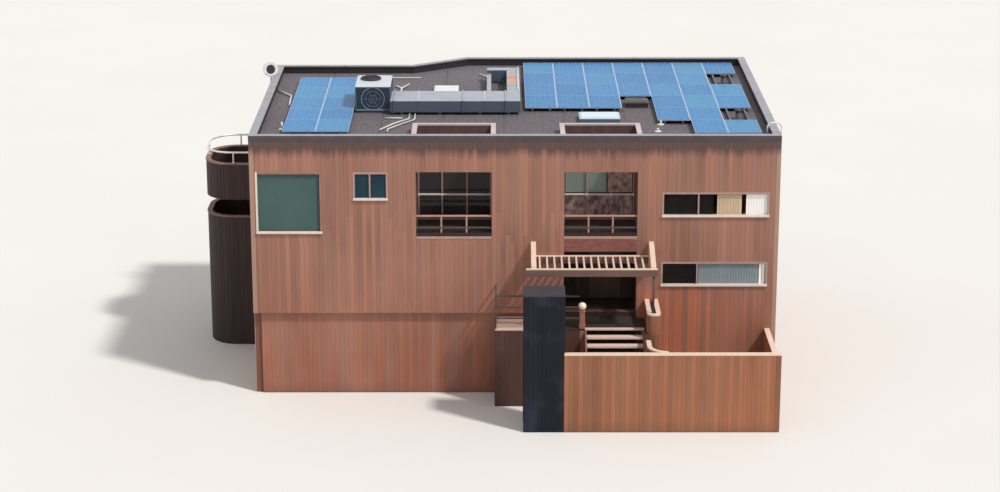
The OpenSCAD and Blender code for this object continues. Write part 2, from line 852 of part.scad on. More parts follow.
// A wall beside the stair: straight from the house along the hollow pier, then a quarter turn
// to the front wall. Its left face is the same for every thickness.
module curved_run(thickness, z) {
    bend = court_in - curve_r;
    block([curve_x, curve_x + thickness], [-bend, 0], z);
    translate([curve_x + curve_r, face_y - bend, z[0]]) rotate([0, 0, 180])
        rotate_extrude(angle = 90)
            translate([curve_r - thickness, 0])
                square([thickness, z[1] - z[0]]);
}

// The hollow pier's plan, moved inwards by an inset. It runs out from the house.
module pier_plan(inset) {
    r = pier_r - inset;
    left = curve_x + pier_in + inset;
    right = curve_x + pier_in + pier_w - inset;
    front = face_y - pier_l + inset;
    translate([left, front + r])
        square([right - left, face_y - front - r]);
    translate([left + r, front])
        square([right - left - 2 * r, r + 1]);
    for (x = [left + r, right - r])
        translate([x, front + r])
            circle(r);
}

// Walls of the hollow pier between two heights, open to the house
module pier_walls(outside, inside, low, high) {
    translate([0, 0, low]) linear_extrude(high - low) difference() {
        pier_plan(outside);
        pier_plan(inside);
    }
}

// Curved wall with its cap, which ends against the cap of the court's front wall, and the
// hollow pier beside its other end
module curved_wall() {
    color(cedar) pier_walls(0, pier_t, 0, pier_z - cap_t);
    color(pale) pier_walls(-cap_lip, pier_t + cap_lip, pier_z - cap_t, pier_z);
    color(cedar) translate([0, 0, pier_z - pier_depth]) linear_extrude(cap_t)
        pier_plan(pier_t - 1);
    color(cedar) curved_run(court_t, [0, court_z - cap_t]);
    color(pale) difference() {
        curved_run(court_t + cap_lip, [court_z - cap_t, court_z]);
        block([curve_x, curve_x + 2 * curve_r], [-court_out, cap_lip - court_in],
            [court_z - cap_t - 1, court_z + 1]);
    }
}

screen_end = screen_x + screen_w;

// Boarded front and back of the dark screen that stands over the lower flight
module screen_walls() color(dark_wood) {
    block([screen_x, screen_end], [-court_out, screen_t - court_out], [0, screen_z - cap_t]);
    block([screen_x, screen_end], [screen_d - court_out - screen_t, screen_d - court_out],
        [0, screen_z - cap_t]);
    block([screen_x - cap_lip, screen_end + cap_lip],
        [-court_out - cap_lip, screen_d - court_out + cap_lip], [screen_z - cap_t, screen_z]);
}

// The screen's ends over the way through it
module screen_ends() color(dark_wood)
    for (end = [[screen_x, screen_door_h], [screen_end - screen_t, court_z + 600]])
        block([end[0], end[0] + screen_t],
            [screen_t - court_out, screen_d - court_out - screen_t], [end[1], screen_z - cap_t]);

// The decks' rounded plan, moved inwards by an inset. It runs along the left wall.
module deck_plan(inset) {
    near = face_y + deck_in + inset;
    far = face_y + deck_in + deck_l - inset;
    outer = -half_w - deck_out + inset;
    r = deck_r - inset;
    translate([outer + r, near])
        square([-half_w - outer - r, far - near]);
    translate([outer, near + r])
        square([r + 1, far - near - 2 * r]);
    for (y = [near + r, far - r])
        translate([outer + r, y])
            circle(r);
}

// A curved ring round the deck between two insets and two heights, open to the house
module deck_ring(outside, inside, low, high) {
    translate([0, 0, low]) linear_extrude(high - low) difference() {
        deck_plan(outside);
        deck_plan(inside);
    }
}

// A curved wall with its cap
module deck_wall(low, high) {
    color(cedar) deck_ring(0, deck_wall_t, low, high - deck_cap_t);
    color(pale) deck_ring(-deck_cap_lip, deck_wall_t + deck_cap_lip, high - deck_cap_t, high);
}

deck_top_z = second_floor_z + deck_above;
deck_rail_z = second_floor_z + deck_rail_h;

module lower_deck_wall() deck_wall(0, first_floor_z + lower_deck_h);
module upper_deck_wall() deck_wall(second_floor_z - deck_below, deck_top_z);

// Boarded floors of the decks, seated against their walls and the house
module deck_floors() color(pale) {
    deck_floor_t = 120;
    for (top = [first_floor_z - 50, second_floor_z - 50])
        translate([0, 0, top - deck_floor_t]) linear_extrude(deck_floor_t)
            deck_plan(deck_wall_t);
}

// Pipe rail over the upper deck's wall, with posts that go down past it to the lower deck
module deck_rail() color(metal) {
    inset = deck_wall_t / 2;
    near = face_y + deck_in + inset;
    far = face_y + deck_in + deck_l - inset;
    outer = -half_w - deck_out + inset;
    r = deck_r - inset;
    for (y = [near, far]) {
        translate([outer + r, y, deck_rail_z]) rotate([0, 90, 0])
            cylinder(h = deck_out - inset - r, r = pipe_r);
        translate([outer + r + 60, y, deck_top_z])
            cylinder(h = deck_rail_z - deck_top_z, r = pipe_r * 0.8);
    }
    translate([outer, near + r, deck_rail_z]) rotate([-90, 0, 0])
        cylinder(h = far - near - 2 * r, r = pipe_r);
    translate([outer, (near + far) / 2, deck_top_z])
        cylinder(h = deck_rail_z - deck_top_z, r = pipe_r * 0.8);
    translate([outer + r, near + r, deck_rail_z]) rotate([0, 0, 180])
        rotate_extrude(angle = 90) translate([r, 0]) circle(pipe_r);
    translate([outer + r, far - r, deck_rail_z]) rotate([0, 0, 90])
        rotate_extrude(angle = 90) translate([r, 0]) circle(pipe_r);
}

panel_step_x = panel_w + panel_gap;
panel_step_y = panel_l + panel_gap;
left_step_y = left_panel_l + panel_gap;
panel_z = roof_z + panel_up;
left_columns = 2;
left_rows_of_panels = floor((left_depth - wall_t - left_panels_y - left_panels_back + panel_gap)
    / left_step_y);
right_panels_end = right_depth - wall_t - right_panels_in;
right_columns = floor((half_w - wall_t - right_panels_side - right_panels_x + panel_gap)
    / panel_step_x);
right_rows_of_panels = floor((right_panels_end - wall_t - right_panels_front + panel_gap)
    / panel_step_y);
// Panels left out at the front of each column of the right group, from the left
left_out = [2, 2, 2, 3, 1, 0, 0];
// Rows of the right group's last column, counted from the back, where vents stand instead
vent_rows = [1, 4];

function panels_in(column) = right_rows_of_panels - left_out[column];
// Front edge of a row of the right group, behind the front face
function row_front(row) = right_panels_end - (row + 1) * panel_step_y + panel_gap;
function is_vent(column, row) = column == right_columns - 1 && len(search(row, vent_rows)) > 0;

// One panel at a column and a row, with the rows counted forward from the back edge
module right_panel(column, row)
    translate([right_panels_x + column * panel_step_x, face_y + row_front(row), panel_z])
        cube([panel_w, panel_l, panel_t]);

module solar_panels() color(panel_blue) {
    for (column = [0:left_columns - 1], row = [0:left_rows_of_panels - 1])
        translate([-half_w + left_panels_in + column * panel_step_x,
            face_y + left_panels_y + row * left_step_y, panel_z])
            cube([panel_w, left_panel_l, panel_t]);
    for (column = [0:right_columns - 1], row = [0:panels_in(column) - 1])
        if (!is_vent(column, row))
            right_panel(column, row);
}

// Two rails under each column of panels, lying on the roof deck
module solar_rails() color(metal) {
    rail = 60;
    for (column = [0:left_columns - 1], share = [0.22, 0.78])
        translate([-half_w + left_panels_in + column * panel_step_x + share * panel_w - rail / 2,
            face_y + left_panels_y, roof_z])
            cube([rail, left_rows_of_panels * left_step_y - panel_gap, panel_up]);
    for (column = [0:right_columns - 1], share = [0.22, 0.78])
        translate([right_panels_x + column * panel_step_x + share * panel_w - rail / 2,
            face_y + row_front(panels_in(column) - 1), roof_z])
            cube([rail, panels_in(column) * panel_step_y - panel_gap, panel_up]);
}

unit_x = unit_in - half_w;
// The vent curb stands in front of the fourth column of the right group.
curb_column = 3;
curb_x = right_panels_x + (curb_column + 0.5) * panel_step_x - (panel_gap + curb_w) / 2;
curb_y = row_front(panels_in(curb_column) - 1) - curb_gap - curb_d;
box_x = duct_end - branch_w - box_side - box_w;
box_y = duct_y + duct_d + box_in;

// Air unit with a round fan opening in its top, and the small boxes and vents beside it
module roof_unit() {
    slats_in = 80;
    slat_count = 10;
    slat_pitch = (unit_h - 2 * slats_in) / slat_count;
    fan_sink = 150;
    color(white) difference() {
        block([unit_x, unit_x + unit_w], [unit_y, unit_y + unit_d], [roof_z, roof_z + unit_h]);
        translate([unit_x + unit_w * 0.4, face_y + unit_y + unit_d * 0.68,
            roof_z + unit_h - fan_sink])
            cylinder(h = fan_sink + 1, r = fan_r);
        for (i = [0:slat_count - 1])
            block([unit_x + slats_in, unit_x + unit_w - slats_in], [unit_y - 1, unit_y + 25],
                [roof_z + slats_in + slat_pitch * (i + 0.2),
                 roof_z + slats_in + slat_pitch * (i + 0.75)]);
    }
    // Small box behind the duct, skylight box and vent curb
    color(white) block([box_x, box_x + box_w], [box_y, box_y + box_d], [roof_z, roof_z + box_h]);
    color(white) block([entry_x + skylight_x, entry_x + skylight_x + skylight_w],
        [well_depth + well_t + skylight_in, well_depth + well_t + skylight_in + skylight_d],
        [roof_z, roof_z + skylight_h]);
    color(roof_grey) block([curb_x, curb_x + curb_w], [curb_y, curb_y + curb_d],
        [roof_z, roof_z + curb_h]);
    // Vents where panels are left out
    for (row = vent_rows)
        color(metal) translate([right_panels_x + (right_columns - 0.5) * panel_step_x,
            face_y + row_front(row) + 0.4 * panel_l, roof_z])
            cylinder(h = vent_h, r = vent_r);
}

// Flat duct along the roof and the branch that turns back from its right end
module roof_duct() color(metal) {
    main_x = [unit_x + unit_w, duct_end];
    main_y = [duct_y, duct_y + duct_d];
    main_l = main_x[1] - main_x[0];
    branch_x = duct_end - branch_w;
    branch_end = right_depth - branch_back;
    low = roof_z + sleeper_h;
    top = low + duct_h;
    block(main_x, main_y, [low, top]);
    block([branch_x, duct_end], [main_y[1] - 1, branch_end], [low, top]);
    // Cross duct and the thin return duct
    block([branch_x - cross_l, branch_x + 1], [branch_end - branch_w, branch_end], [low, top]);
    block([branch_x - cross_l, branch_x - cross_l + return_w],
        [main_y[1] - 1, branch_end - branch_w + 1], [low, top - return_low]);
    // Standing joints
    for (share = [0.02, 0.55, 0.88])
        block([main_x[0] + share * main_l, main_x[0] + share * main_l + joint_w],
            [main_y[0] - joint_out, main_y[1] + joint_out], [low - 20, top + joint_out]);
    // Sleepers
    for (share = [0.08, 0.37, 0.68, 0.9])
        block([main_x[0] + share * main_l, main_x[0] + share * main_l + sleeper_w],
            [main_y[0] + 40, main_y[1] - 40], [roof_z, low]);
    for (share = [0.32, 0.65, 0.93])
        block([branch_x + 30, duct_end - 30],
            [main_y[1] + share * (branch_end - main_y[1]),
             main_y[1] + share * (branch_end - main_y[1]) + sleeper_w], [roof_z, low]);
}

ground_wall_front();
front_wall_bands();
front_wall_piers();
front_wall_over_entry();
left_wall_bands();
left_wall_piers();
right_wall_bands();
right_wall_piers();
back_wall_bands();
back_wall_piers();
back_wall_slanted();
first_floor();
second_floor();
roof_deck();
roof_coping();
light_well_walls();
light_well_headers();
light_well_windows();
entry_side_walls();
entry_back_wall();
entry_door();
window_frames();
window_glass();
deck_doors();
pergola_beams();
pergola_ties();
pergola_slats();
entry_landing();
landing_skirt();
landing_rail();
stair_treads();
stair_stringers();
newel_lamp();
court_walls();
curved_wall();
screen_walls();
screen_ends();
lower_deck_wall();
upper_deck_wall();
deck_floors();
deck_rail();
solar_panels();
solar_rails();
roof_unit();
roof_duct();
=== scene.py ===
# Flat-roofed cedar beach house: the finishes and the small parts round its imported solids.
# Lengths are in metres. +X runs right along the front, +Y to the back and +Z up.
import math
import random

import bmesh
import bpy
from mathutils import Matrix, Vector


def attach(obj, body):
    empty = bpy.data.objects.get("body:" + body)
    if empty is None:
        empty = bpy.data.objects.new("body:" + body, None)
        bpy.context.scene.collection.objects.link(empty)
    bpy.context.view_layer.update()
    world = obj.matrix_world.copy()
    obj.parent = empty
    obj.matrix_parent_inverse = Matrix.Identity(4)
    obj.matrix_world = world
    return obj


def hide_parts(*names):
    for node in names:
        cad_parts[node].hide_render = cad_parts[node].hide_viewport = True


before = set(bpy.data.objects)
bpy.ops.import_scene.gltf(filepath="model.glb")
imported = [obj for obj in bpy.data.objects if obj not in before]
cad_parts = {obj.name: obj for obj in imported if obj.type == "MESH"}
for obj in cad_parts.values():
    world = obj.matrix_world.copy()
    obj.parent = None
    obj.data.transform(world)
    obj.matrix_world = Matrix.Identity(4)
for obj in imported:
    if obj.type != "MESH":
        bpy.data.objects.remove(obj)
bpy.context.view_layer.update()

# Camera. It stands high over the front, as the photograph's camera does, and a long lens
# brings in the middle of the house.
camera_place = Vector((-0.54, -68.85, 25.305))
camera_aim = Vector((-0.45, -0.25, 4.79))
camera_data = bpy.data.cameras.new("camera")
camera_data.lens = 84.6
camera_data.sensor_width = 36.0
camera_data.clip_end = 1000.0
camera = bpy.data.objects.new("camera", camera_data)
camera.location = camera_place
camera.rotation_euler = (camera_aim - camera_place).to_track_quat("-Z", "Y").to_euler()
scene = bpy.context.scene
scene.collection.objects.link(camera)
scene.camera = camera
scene.view_settings.view_transform = "Standard"


# Studio light. A plain white surround and one wide soft lamp from the upper right of the front,
# together at the level where a colour renders about as it is written.
class Output:
    """One output of a node. Arithmetic on it adds Math nodes."""

    def __init__(self, nodes, socket):
        self.nodes = nodes
        self.socket = socket

    def math(self, operation, *values):
        return self.nodes.add("ShaderNodeMath", {"operation": operation}, values)

    def __add__(self, other):
        return self.math("ADD", self, other)

    def __radd__(self, other):
        return self.math("ADD", other, self)

    def __sub__(self, other):
        return self.math("SUBTRACT", self, other)

    def __rsub__(self, other):
        return self.math("SUBTRACT", other, self)

    def __mul__(self, other):
        return self.math("MULTIPLY", self, other)

    def __rmul__(self, other):
        return self.math("MULTIPLY", other, self)

    def __truediv__(self, other):
        return self.math("DIVIDE", self, other)

    def __mod__(self, other):
        return self.math("FLOORED_MODULO", self, other)

    def __gt__(self, other):
        return self.math("GREATER_THAN", self, other)

    def __lt__(self, other):
        return self.math("LESS_THAN", self, other)

    def floor(self):
        return self.math("FLOOR", self)

    def at_most(self, other):
        return self.math("MINIMUM", self, other)


class Nodes:
    """The nodes of a material. add() makes any node from its settings and its sockets' values."""

    def __init__(self, graph):
        self.graph = graph

    def add(self, kind, settings=None, inputs=(), output=0):
        node = self.graph.nodes.new(kind)
        for name, value in (settings or {}).items():
            setattr(node, name, value)
        named = inputs.items() if isinstance(inputs, dict) else enumerate(inputs)
        for key, value in named:
            self.feed(node.inputs[key], value)
        return Output(self, node.outputs[output])

    def feed(self, socket, value):
        if isinstance(value, Output):
            self.graph.links.new(value.socket, socket)
        else:
            socket.default_value = value


surround_light = 0.56
world = bpy.data.worlds.new("studio")
world.use_nodes = True
scene.world = world
surround = Nodes(world.node_tree)
seen_directly = sum(
    surround.add("ShaderNodeLightPath", output=ray)
    for ray in ("Is Camera Ray", "Is Glossy Ray", "Is Transmission Ray")
).at_most(1.0)
background = world.node_tree.nodes["Background"]
surround.feed(background.inputs["Color"], (1.0, 1.0, 1.0, 1.0))
surround.feed(background.inputs["Strength"], surround_light + (1.0 - surround_light) * seen_directly)

lamp_data = bpy.data.lights.new("lamp", "SUN")
lamp_data.energy = 2.5
lamp_data.angle = math.radians(5)
lamp_data.color = (1.0, 0.97, 0.93)
lamp = bpy.data.objects.new("lamp", lamp_data)
lamp.rotation_euler = Vector((-0.65, 0.46, -1.0)).to_track_quat("-Z", "Y").to_euler()
scene.collection.objects.link(lamp)


# Studio floor. A wide disc in matt pale paint, which lies just under the house, takes its
# shadow and fades into the white surround.
def linear(colour):
    """A colour as a screen shows it, in three parts up to 255, made linear for a shader."""
    return tuple(((part / 255 + 0.055) / 1.055) ** 2.4 for part in colour) + (1.0,)


class Finish(Nodes):
    """A material, whose Principled shader give() feeds."""

    def __init__(self, name):
        self.material = bpy.data.materials.new(name)
        self.material.use_nodes = True
        super().__init__(self.material.node_tree)
        self.shader = self.graph.nodes["Principled BSDF"]
        self.place = self.add("ShaderNodeTexCoord", output="Object")

    def give(self, colour, rough, relief=None, **others):
        """Feeds the shader. Other sockets are named with _ for a space."""
        sockets = {"Base_Color": colour, "Roughness": rough, **others}
        if relief:
            sockets["Normal"] = relief
        for name, value in sockets.items():
            self.feed(self.shader.inputs[name.replace("_", " ")], value)
        return self.material

    def noise(self, scale, stretch=(1, 1, 1), detail=3.0):
        vector = self.add("ShaderNodeMapping", None, {"Vector": self.place, "Scale": stretch})
        sockets = {"Vector": vector, "Scale": scale, "Detail": detail}
        return self.add("ShaderNodeTexNoise", None, sockets)

    def mix(self, share, *ends):
        """Blends two colours, each an output, a linear colour or one as a screen shows it."""
        first, second = (
            linear(end) if isinstance(end, tuple) and len(end) == 3 else end for end in ends
        )
        sockets = {0: share, 6: first, 7: second}
        return self.add("ShaderNodeMix", {"data_type": "RGBA"}, sockets, output=2)

    def axis(self, name, vector=None):
        return self.add("ShaderNodeSeparateXYZ", None, [vector or self.place], output=name)

    def within(self, **limits):
        """1 between the limits given for X, Y and Z, and 0 outside them."""
        share = 1.0
        for name, (low, high) in limits.items():
            along = self.axis(name)
            share = (along > low) * (along < high) * share
        return share

    def looks(self, way):
        """1 on the faces that look along a direction, and 0 on the others."""
        normal = self.add("ShaderNodeTexCoord", output="Normal")
        return self.add("ShaderNodeVectorMath", {"operation": "DOT_PRODUCT"}, [normal, way], "Value") > 0.5

    def tone(self):
        """The shade of its own that each board or panel carries."""
        return self.add("ShaderNodeAttribute", {"attribute_name": "tone"}, output="Fac")

    def fade(self, value, start, end):
        """Rises from 0 to 1 as a value goes from start to end."""
        sockets = {"Value": value, "From Min": start, "From Max": end}
        return self.add("ShaderNodeMapRange", None, sockets)

    def bump(self, height, distance, strength=0.6):
        sockets = {"Height": height, "Distance": distance, "Strength": strength}
        return self.add("ShaderNodeBump", None, sockets)


def coat(name, scale, light, dark, rough, swing, stretch=(1, 1, 1), detail=3.0, depth=0.0, metal=0.0,
         cap=None, bands=()):
    """Two tones that one noise mixes. Swing is how much rougher the second is, and depth how deep.

    Within the limits of each band the finish has the two tones of its cap."""
    finish = Finish(name)
    cloud = finish.noise(scale, stretch, detail)
    colour = finish.mix(cloud, light, dark)
    for band in bands:
        colour = finish.mix(finish.within(**band), colour, finish.mix(cloud, *cap))
    relief = finish.bump(cloud, depth) if depth else None
    return finish.give(colour, rough + swing * cloud if swing else rough, relief, Metallic=metal)


def make_object(name, bm, *materials):
    """Turns a finished mesh into an object of the scene."""
    mesh = bpy.data.meshes.new(name)
    bm.to_mesh(mesh)
    bm.free()
    for material in materials:
        mesh.materials.append(material)
    made = bpy.data.objects.new(name, mesh)
    scene.collection.objects.link(made)
    return made


floor_radius = 260.0
floor_disc = bmesh.new()
bmesh.ops.create_circle(floor_disc, cap_ends=True, segments=128, radius=floor_radius)
bmesh.ops.translate(floor_disc, verts=floor_disc.verts, vec=(0.0, 0.0, -0.002))
floor_paint = coat("floor_paint", 0.12, (226, 224, 220), (232, 230, 227), 0.95, 0.0)
make_object("studio_floor", floor_disc, floor_paint)

# Outside walls. Framed walls, cedar outside and painted plaster inside. Above the roof their
# inner faces carry the roofing up to the coping.
roof_z = 8.0


def dress(material, *names):
    """Gives solids of the frame a finish."""
    for name in names:
        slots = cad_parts[name].data.materials
        slots.clear()
        slots.append(material)


def wall_finish(name, inward):
    """Cedar with a band of painted shade under the light-well sills, plaster on the faces that look the
    way of inward, and roofing on the roof.
    """
    wall = Finish(name)
    grain = wall.noise(8.0, (1, 1, 0.08))
    cedar = wall.mix(grain, (96, 62, 52), (128, 84, 68))
    # Painted shade: a near-black band from 5.09 to 5.21 m stands in for the shade under the light-well
    # sills.
    cedar = wall.mix(wall.within(Z=(5.09, 5.21)), cedar, (38, 26, 24))
    trowel = wall.noise(2.0)
    plaster = wall.mix(trowel, (214, 208, 198), (228, 224, 215))
    roofing = wall.mix(trowel, (24, 22, 26), (42, 38, 42))
    lining = wall.mix(wall.axis("Z") > roof_z - 0.1, plaster, roofing)
    colour = wall.mix(wall.looks(inward), cedar, lining)
    return wall.give(colour, 0.62 + 0.2 * grain, wall.bump(grain, 0.004))


wall_front = wall_finish("wall_front", (0, 1, 0))
dress(wall_front, "ground_wall_front", "front_wall_bands", "front_wall_piers", "front_wall_over_entry")
dress(wall_finish("wall_left", (1, 0, 0)), "left_wall_bands", "left_wall_piers")
dress(wall_finish("wall_right", (-1, 0, 0)), "right_wall_bands", "right_wall_piers")
dress(wall_finish("wall_back", (0, -1, 0)), "back_wall_bands", "back_wall_piers")
dress(wall_finish("wall_slanted", (0.56, -0.83, 0)), "back_wall_slanted")

# Cladding. Upright red cedar boards, nailed over the walls from their foot to the coping.
# They have faded to a pinkish brown, and they are darker near their tops.
half_w = 8.0
front_y = -0.25
back_left_y = 9.75
back_right_y = 11.0
foot_z = 0.02
first_z = 2.65
second_z = 5.20
head_z = 7.12
coping_low = 8.07
board_w = 0.14
board_t = 0.018
board_gap = 0.002
board_chamfer = 0.003
longest_board = 4.9
board_shades = random.Random(11)


def scaled(colour, *factors):
    """A screen colour made linear, with its parts stronger or weaker by one factor or three."""
    parts = zip(linear(colour)[:3], factors * 3)
    return tuple(min(part * factor, 1.0) for part, factor in parts) + (1.0,)


def cedar_finish(name, pale, fresh, dark_top_from=None, bleach_tone=0.3, sheltered_and_lit=None):
    """Cedar boards: one tone a board, long grain, and fresher wood low down.

    Sheltered_and_lit is the strong colour of the boards inside the court: partly fresher wood that the
    court walls shield from rain, and partly painted light that offsets those walls' shade."""
    cedar = Finish(name)
    tone = cedar.tone()
    height = cedar.axis("Z")
    grain = cedar.noise(14.0, (1, 1, 0.05), 5.0)
    patches = cedar.noise(0.5, (1, 1, 0.6))
    colour = cedar.mix(cedar.fade(height + patches * 2.5, 5.4, 2.2), pale, fresh)
    if sheltered_and_lit:
        # Painted light and fresher wood: boards inside the court, towards its right end, are brightened to
        # a strong orange.
        along = cedar.axis("X")
        shelter_and_light = cedar.fade(height + patches * 0.8, 4.0, 3.3) * (along > 3.8) * (cedar.axis("Y") < 0.0)
        colour = cedar.mix(shelter_and_light * cedar.fade(along, 8.4, 4.6), colour, sheltered_and_lit)
    streak = cedar.noise(3.2, (1, 1, 0.06))
    greyness = cedar.fade(tone * 7.0 % 1.0, 0.55, 0.95) * 0.6
    colour = cedar.mix(greyness, colour, scaled(pale, 0.72, 0.98, 1.08))
    colour = cedar.mix(tone * 0.42 + grain * 0.2 + streak * 0.4, colour, scaled(pale, 0.26))
    bleach = cedar.fade(patches + tone * bleach_tone, 0.55, 0.95) * 0.35
    colour = cedar.mix(bleach, colour, scaled(pale, 1.2))
    if dark_top_from:
        # The boards darken above a height, with a ragged lower edge.
        darkening_height = height + cedar.noise(11.0, (1, 1, 0.015)) * 0.3 + tone * 0.12
        top_darkening = cedar.fade(darkening_height, dark_top_from - 0.04, dark_top_from + 0.24) * 0.9
        colour = cedar.mix(top_darkening, colour, (80, 62, 60))
    foot = cedar.fade(height + patches * 0.3, 0.55, 0.1) * 0.5
    colour = cedar.mix(foot, colour, scaled(pale, 0.34))
    return cedar.give(colour, 0.58 + 0.25 * grain, cedar.bump(grain, 0.003))


def add_box(bm, low, high, place=Matrix()):
    """Adds a box between two opposite corners and returns its points."""
    low = Vector(low)
    high = Vector(high)
    size = Matrix.Diagonal((*map(abs, high - low), 1.0))
    matrix = place @ Matrix.Translation((low + high) / 2) @ size
    return bmesh.ops.create_cube(bm, size=1.0, matrix=matrix)["verts"]


def faces_of(points):
    return {face for point in points for face in point.link_faces}


def edges_of(points):
    return {edge for point in points for edge in point.link_edges}


def bevel(bm, edges, offset, segments=1):
    bmesh.ops.bevel(
        bm, geom=edges, offset=offset, segments=segments, profile=0.5, affect="EDGES", material=-1,
    )


def parts_clear(low, high, blocked):
    """The stretches from low to high that no blocked stretch takes."""
    clear = []
    for bottom, top in sorted(blocked):
        if bottom > low:
            clear.append((low, bottom))
        low = max(low, top)
    if high > low:
        clear.append((low, high))
    return clear


def board_lengths(low, high):
    """One board, or two that meet at a joint where the run is longer than a board."""
    if high - low <= longest_board:
        return [(low, high)]
    joint = low + (high - low) * board_shades.uniform(0.4, 0.6)
    return [(low, joint - board_gap), (joint, high)]


def add_boards(bm, start, end, low, high, openings=()):
    """Boards a wall that runs in plan from start to end, with its outside on the right.

    Openings are (from, to, bottom, top), by their places on the axis the wall follows."""
    tone = bm.faces.layers.float.get("tone") or bm.faces.layers.float.new("tone")
    run = Vector(end) - Vector(start)
    axis = 0 if abs(run.x) > abs(run.y) else 1
    way = math.copysign(1.0, run[axis])
    holes = [
        (*sorted(way * (place - start[axis]) for place in (near, far)), bottom, top)
        for near, far, bottom, top in openings
    ]
    stops = {0.0, run.length}
    for hole in holes:
        stops |= {min(max(stop, 0.0), run.length) for stop in hole[:2]}
    stops = sorted(stops)
    old = set(bm.verts)
    for left, right in zip(stops, stops[1:]):
        count = max(1, round((right - left) / board_w))
        pitch = (right - left) / count
        middle = (left + right) / 2
        blocked = [hole[2:] for hole in holes if hole[0] < middle < hole[1]]
        for number in range(count):
            edge = left + pitch * number
            near = edge + board_gap / 2
            far = edge + pitch - board_gap / 2
            for clear_low, clear_high in parts_clear(low, high, blocked):
                for bottom, top in board_lengths(clear_low, clear_high):
                    points = add_box(bm, (near, -board_t, bottom), (far, 0.0, top))
                    shade = board_shades.random()
                    for face in faces_of(points):
                        face[tone] = shade
    front_edges = [
        edge
        for edge in edges_of(point for point in bm.verts if point not in old)
        if all(point.co.y < -0.9 * board_t for point in edge.verts)
        and edge.verts[0].co.x == edge.verts[1].co.x
    ]
    front_edges.sort(key=lambda edge: (edge.verts[0].co.x, edge.verts[0].co.z))
    bevel(bm, front_edges, board_chamfer)
    turn = Matrix.Rotation(math.atan2(run.y, run.x), 4, "Z")
    place = Matrix.Translation((start[0], start[1], 0.0)) @ turn
    bmesh.ops.transform(bm, matrix=place, verts=[point for point in bm.verts if point not in old])


def make_piece(name, bm, slot, *materials, replaced=None):
    """Turns a finished mesh into a named piece of the house."""
    piece = make_object(name, bm, *materials)
    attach(piece, "root")
    if replaced:
        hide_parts(replaced)


def clad(name, material, runs, slot="cedar"):
    """A piece of boards. Each run says what add_boards takes."""
    bm = bmesh.new()
    for run in runs:
        add_boards(bm, *run)
    make_piece(name, bm, slot, material)


house_cedar = cedar_finish(
    "house_cedar", (186, 130, 110), (178, 108, 82), dark_top_from=7.8, sheltered_and_lit=(232, 136, 98),
)
corner_w = 0.11
wells = ((-3.00, -0.70), (1.50, 3.72))
entry_left, entry_right = wells[1]
sliding_sill = 6.25
strip_sills = (3.52, 5.72)
strip_w = 2.80
strip_h = 0.77
back_sills = (2.90, 5.45)
back_window_w = 3.495
back_window_h = 1.67
deck_door = (5.30, 6.20)
deck_door_h = 2.05
low_corner_y = -0.05
ground_left = -7.80
ground_y = -0.10
skirt_left = -0.60
landing_z = 2.50
# A limit that lies outside the whole house.
beyond = 99.0
slant_left = (-3.42, back_left_y)
slant_right = (-1.59, back_right_y)

front_openings = [
    (-7.85, -5.85, second_z, head_z), (-4.90, -3.84, sliding_sill, head_z),
    *((left, right, 5.10, head_z) for left, right in wells),
    (entry_left, entry_right, first_z, 4.99),
    *((4.46, 7.72, sill, sill + strip_h) for sill in strip_sills),
    (-half_w, entry_right, 0.0, first_z),
]
side_openings = [
    (near, near + strip_w, sill, sill + strip_h) for near in (1.25, 6.35) for sill in strip_sills
]
left_openings = [
    *((*deck_door, floor_z, floor_z + deck_door_h) for floor_z in (first_z, second_z)),
    (-beyond, low_corner_y, 0.0, first_z),
]
back_openings = [
    (left, left + back_window_w, sill, sill + back_window_h)
    for left in (-0.79, 3.705)
    for sill in back_sills
]
back_left_openings = [(-7.20, -4.22, sill, sill + back_window_h) for sill in back_sills]

end_x = half_w - corner_w
front_end = front_y + corner_w
back_end = back_left_y - corner_w
clad("cladding_front", house_cedar, [
    ((-end_x, front_y), (end_x, front_y), foot_z, coping_low, front_openings),
    (
        (ground_left, ground_y), (entry_right, ground_y), foot_z, first_z,
        [(skirt_left, entry_right, 0.0, landing_z)],
    ),
])
clad("cladding_sides", house_cedar, [
    ((half_w, front_end), (half_w, back_right_y - corner_w), foot_z, coping_low, side_openings),
    ((-half_w, back_end), (-half_w, front_end), foot_z, coping_low, left_openings),
])
clad("cladding_back", house_cedar, [
    ((end_x, back_right_y), slant_right, foot_z, coping_low, back_openings),
    (slant_right, slant_left, foot_z, coping_low),
    (slant_left, (-end_x, back_left_y), foot_z, coping_low, back_left_openings),
])


# Corner boards. Two planed boards close each outside corner and stand a little prouder than
# the cladding, nailed over its ends. They are paler than the cladding.
def bevel_long(bm, length, offset, segments=1):
    """Planes off every edge that is longer than a length."""
    bevel(bm, [edge for edge in bm.edges if edge.calc_length() > length], offset, segments)


corner_t = 0.024
corners = bmesh.new()
for x, y, out_x, out_y, low in (
    (-half_w, front_y, -1, -1, first_z),
    (half_w, front_y, 1, -1, 0.0),
    (half_w, back_right_y, 1, 1, 0.0),
    (-half_w, back_left_y, -1, 1, 0.0),
):
    face_x = x + out_x * corner_t
    add_box(corners, (face_x, y, low), (x - out_x * corner_w, y + out_y * corner_t, coping_low))
    add_box(corners, (face_x, y, low), (x, y - out_y * corner_w, coping_low))
add_box(corners, (-half_w - corner_t, low_corner_y, 0.0), (-half_w, low_corner_y + corner_w, first_z))
bevel_long(corners, 1.0, 0.004)
corner_cedar = cedar_finish("corner_cedar", (188, 148, 130), (184, 142, 122), dark_top_from=7.8)
make_piece("corner_boards", corners, "cedar", corner_cedar)

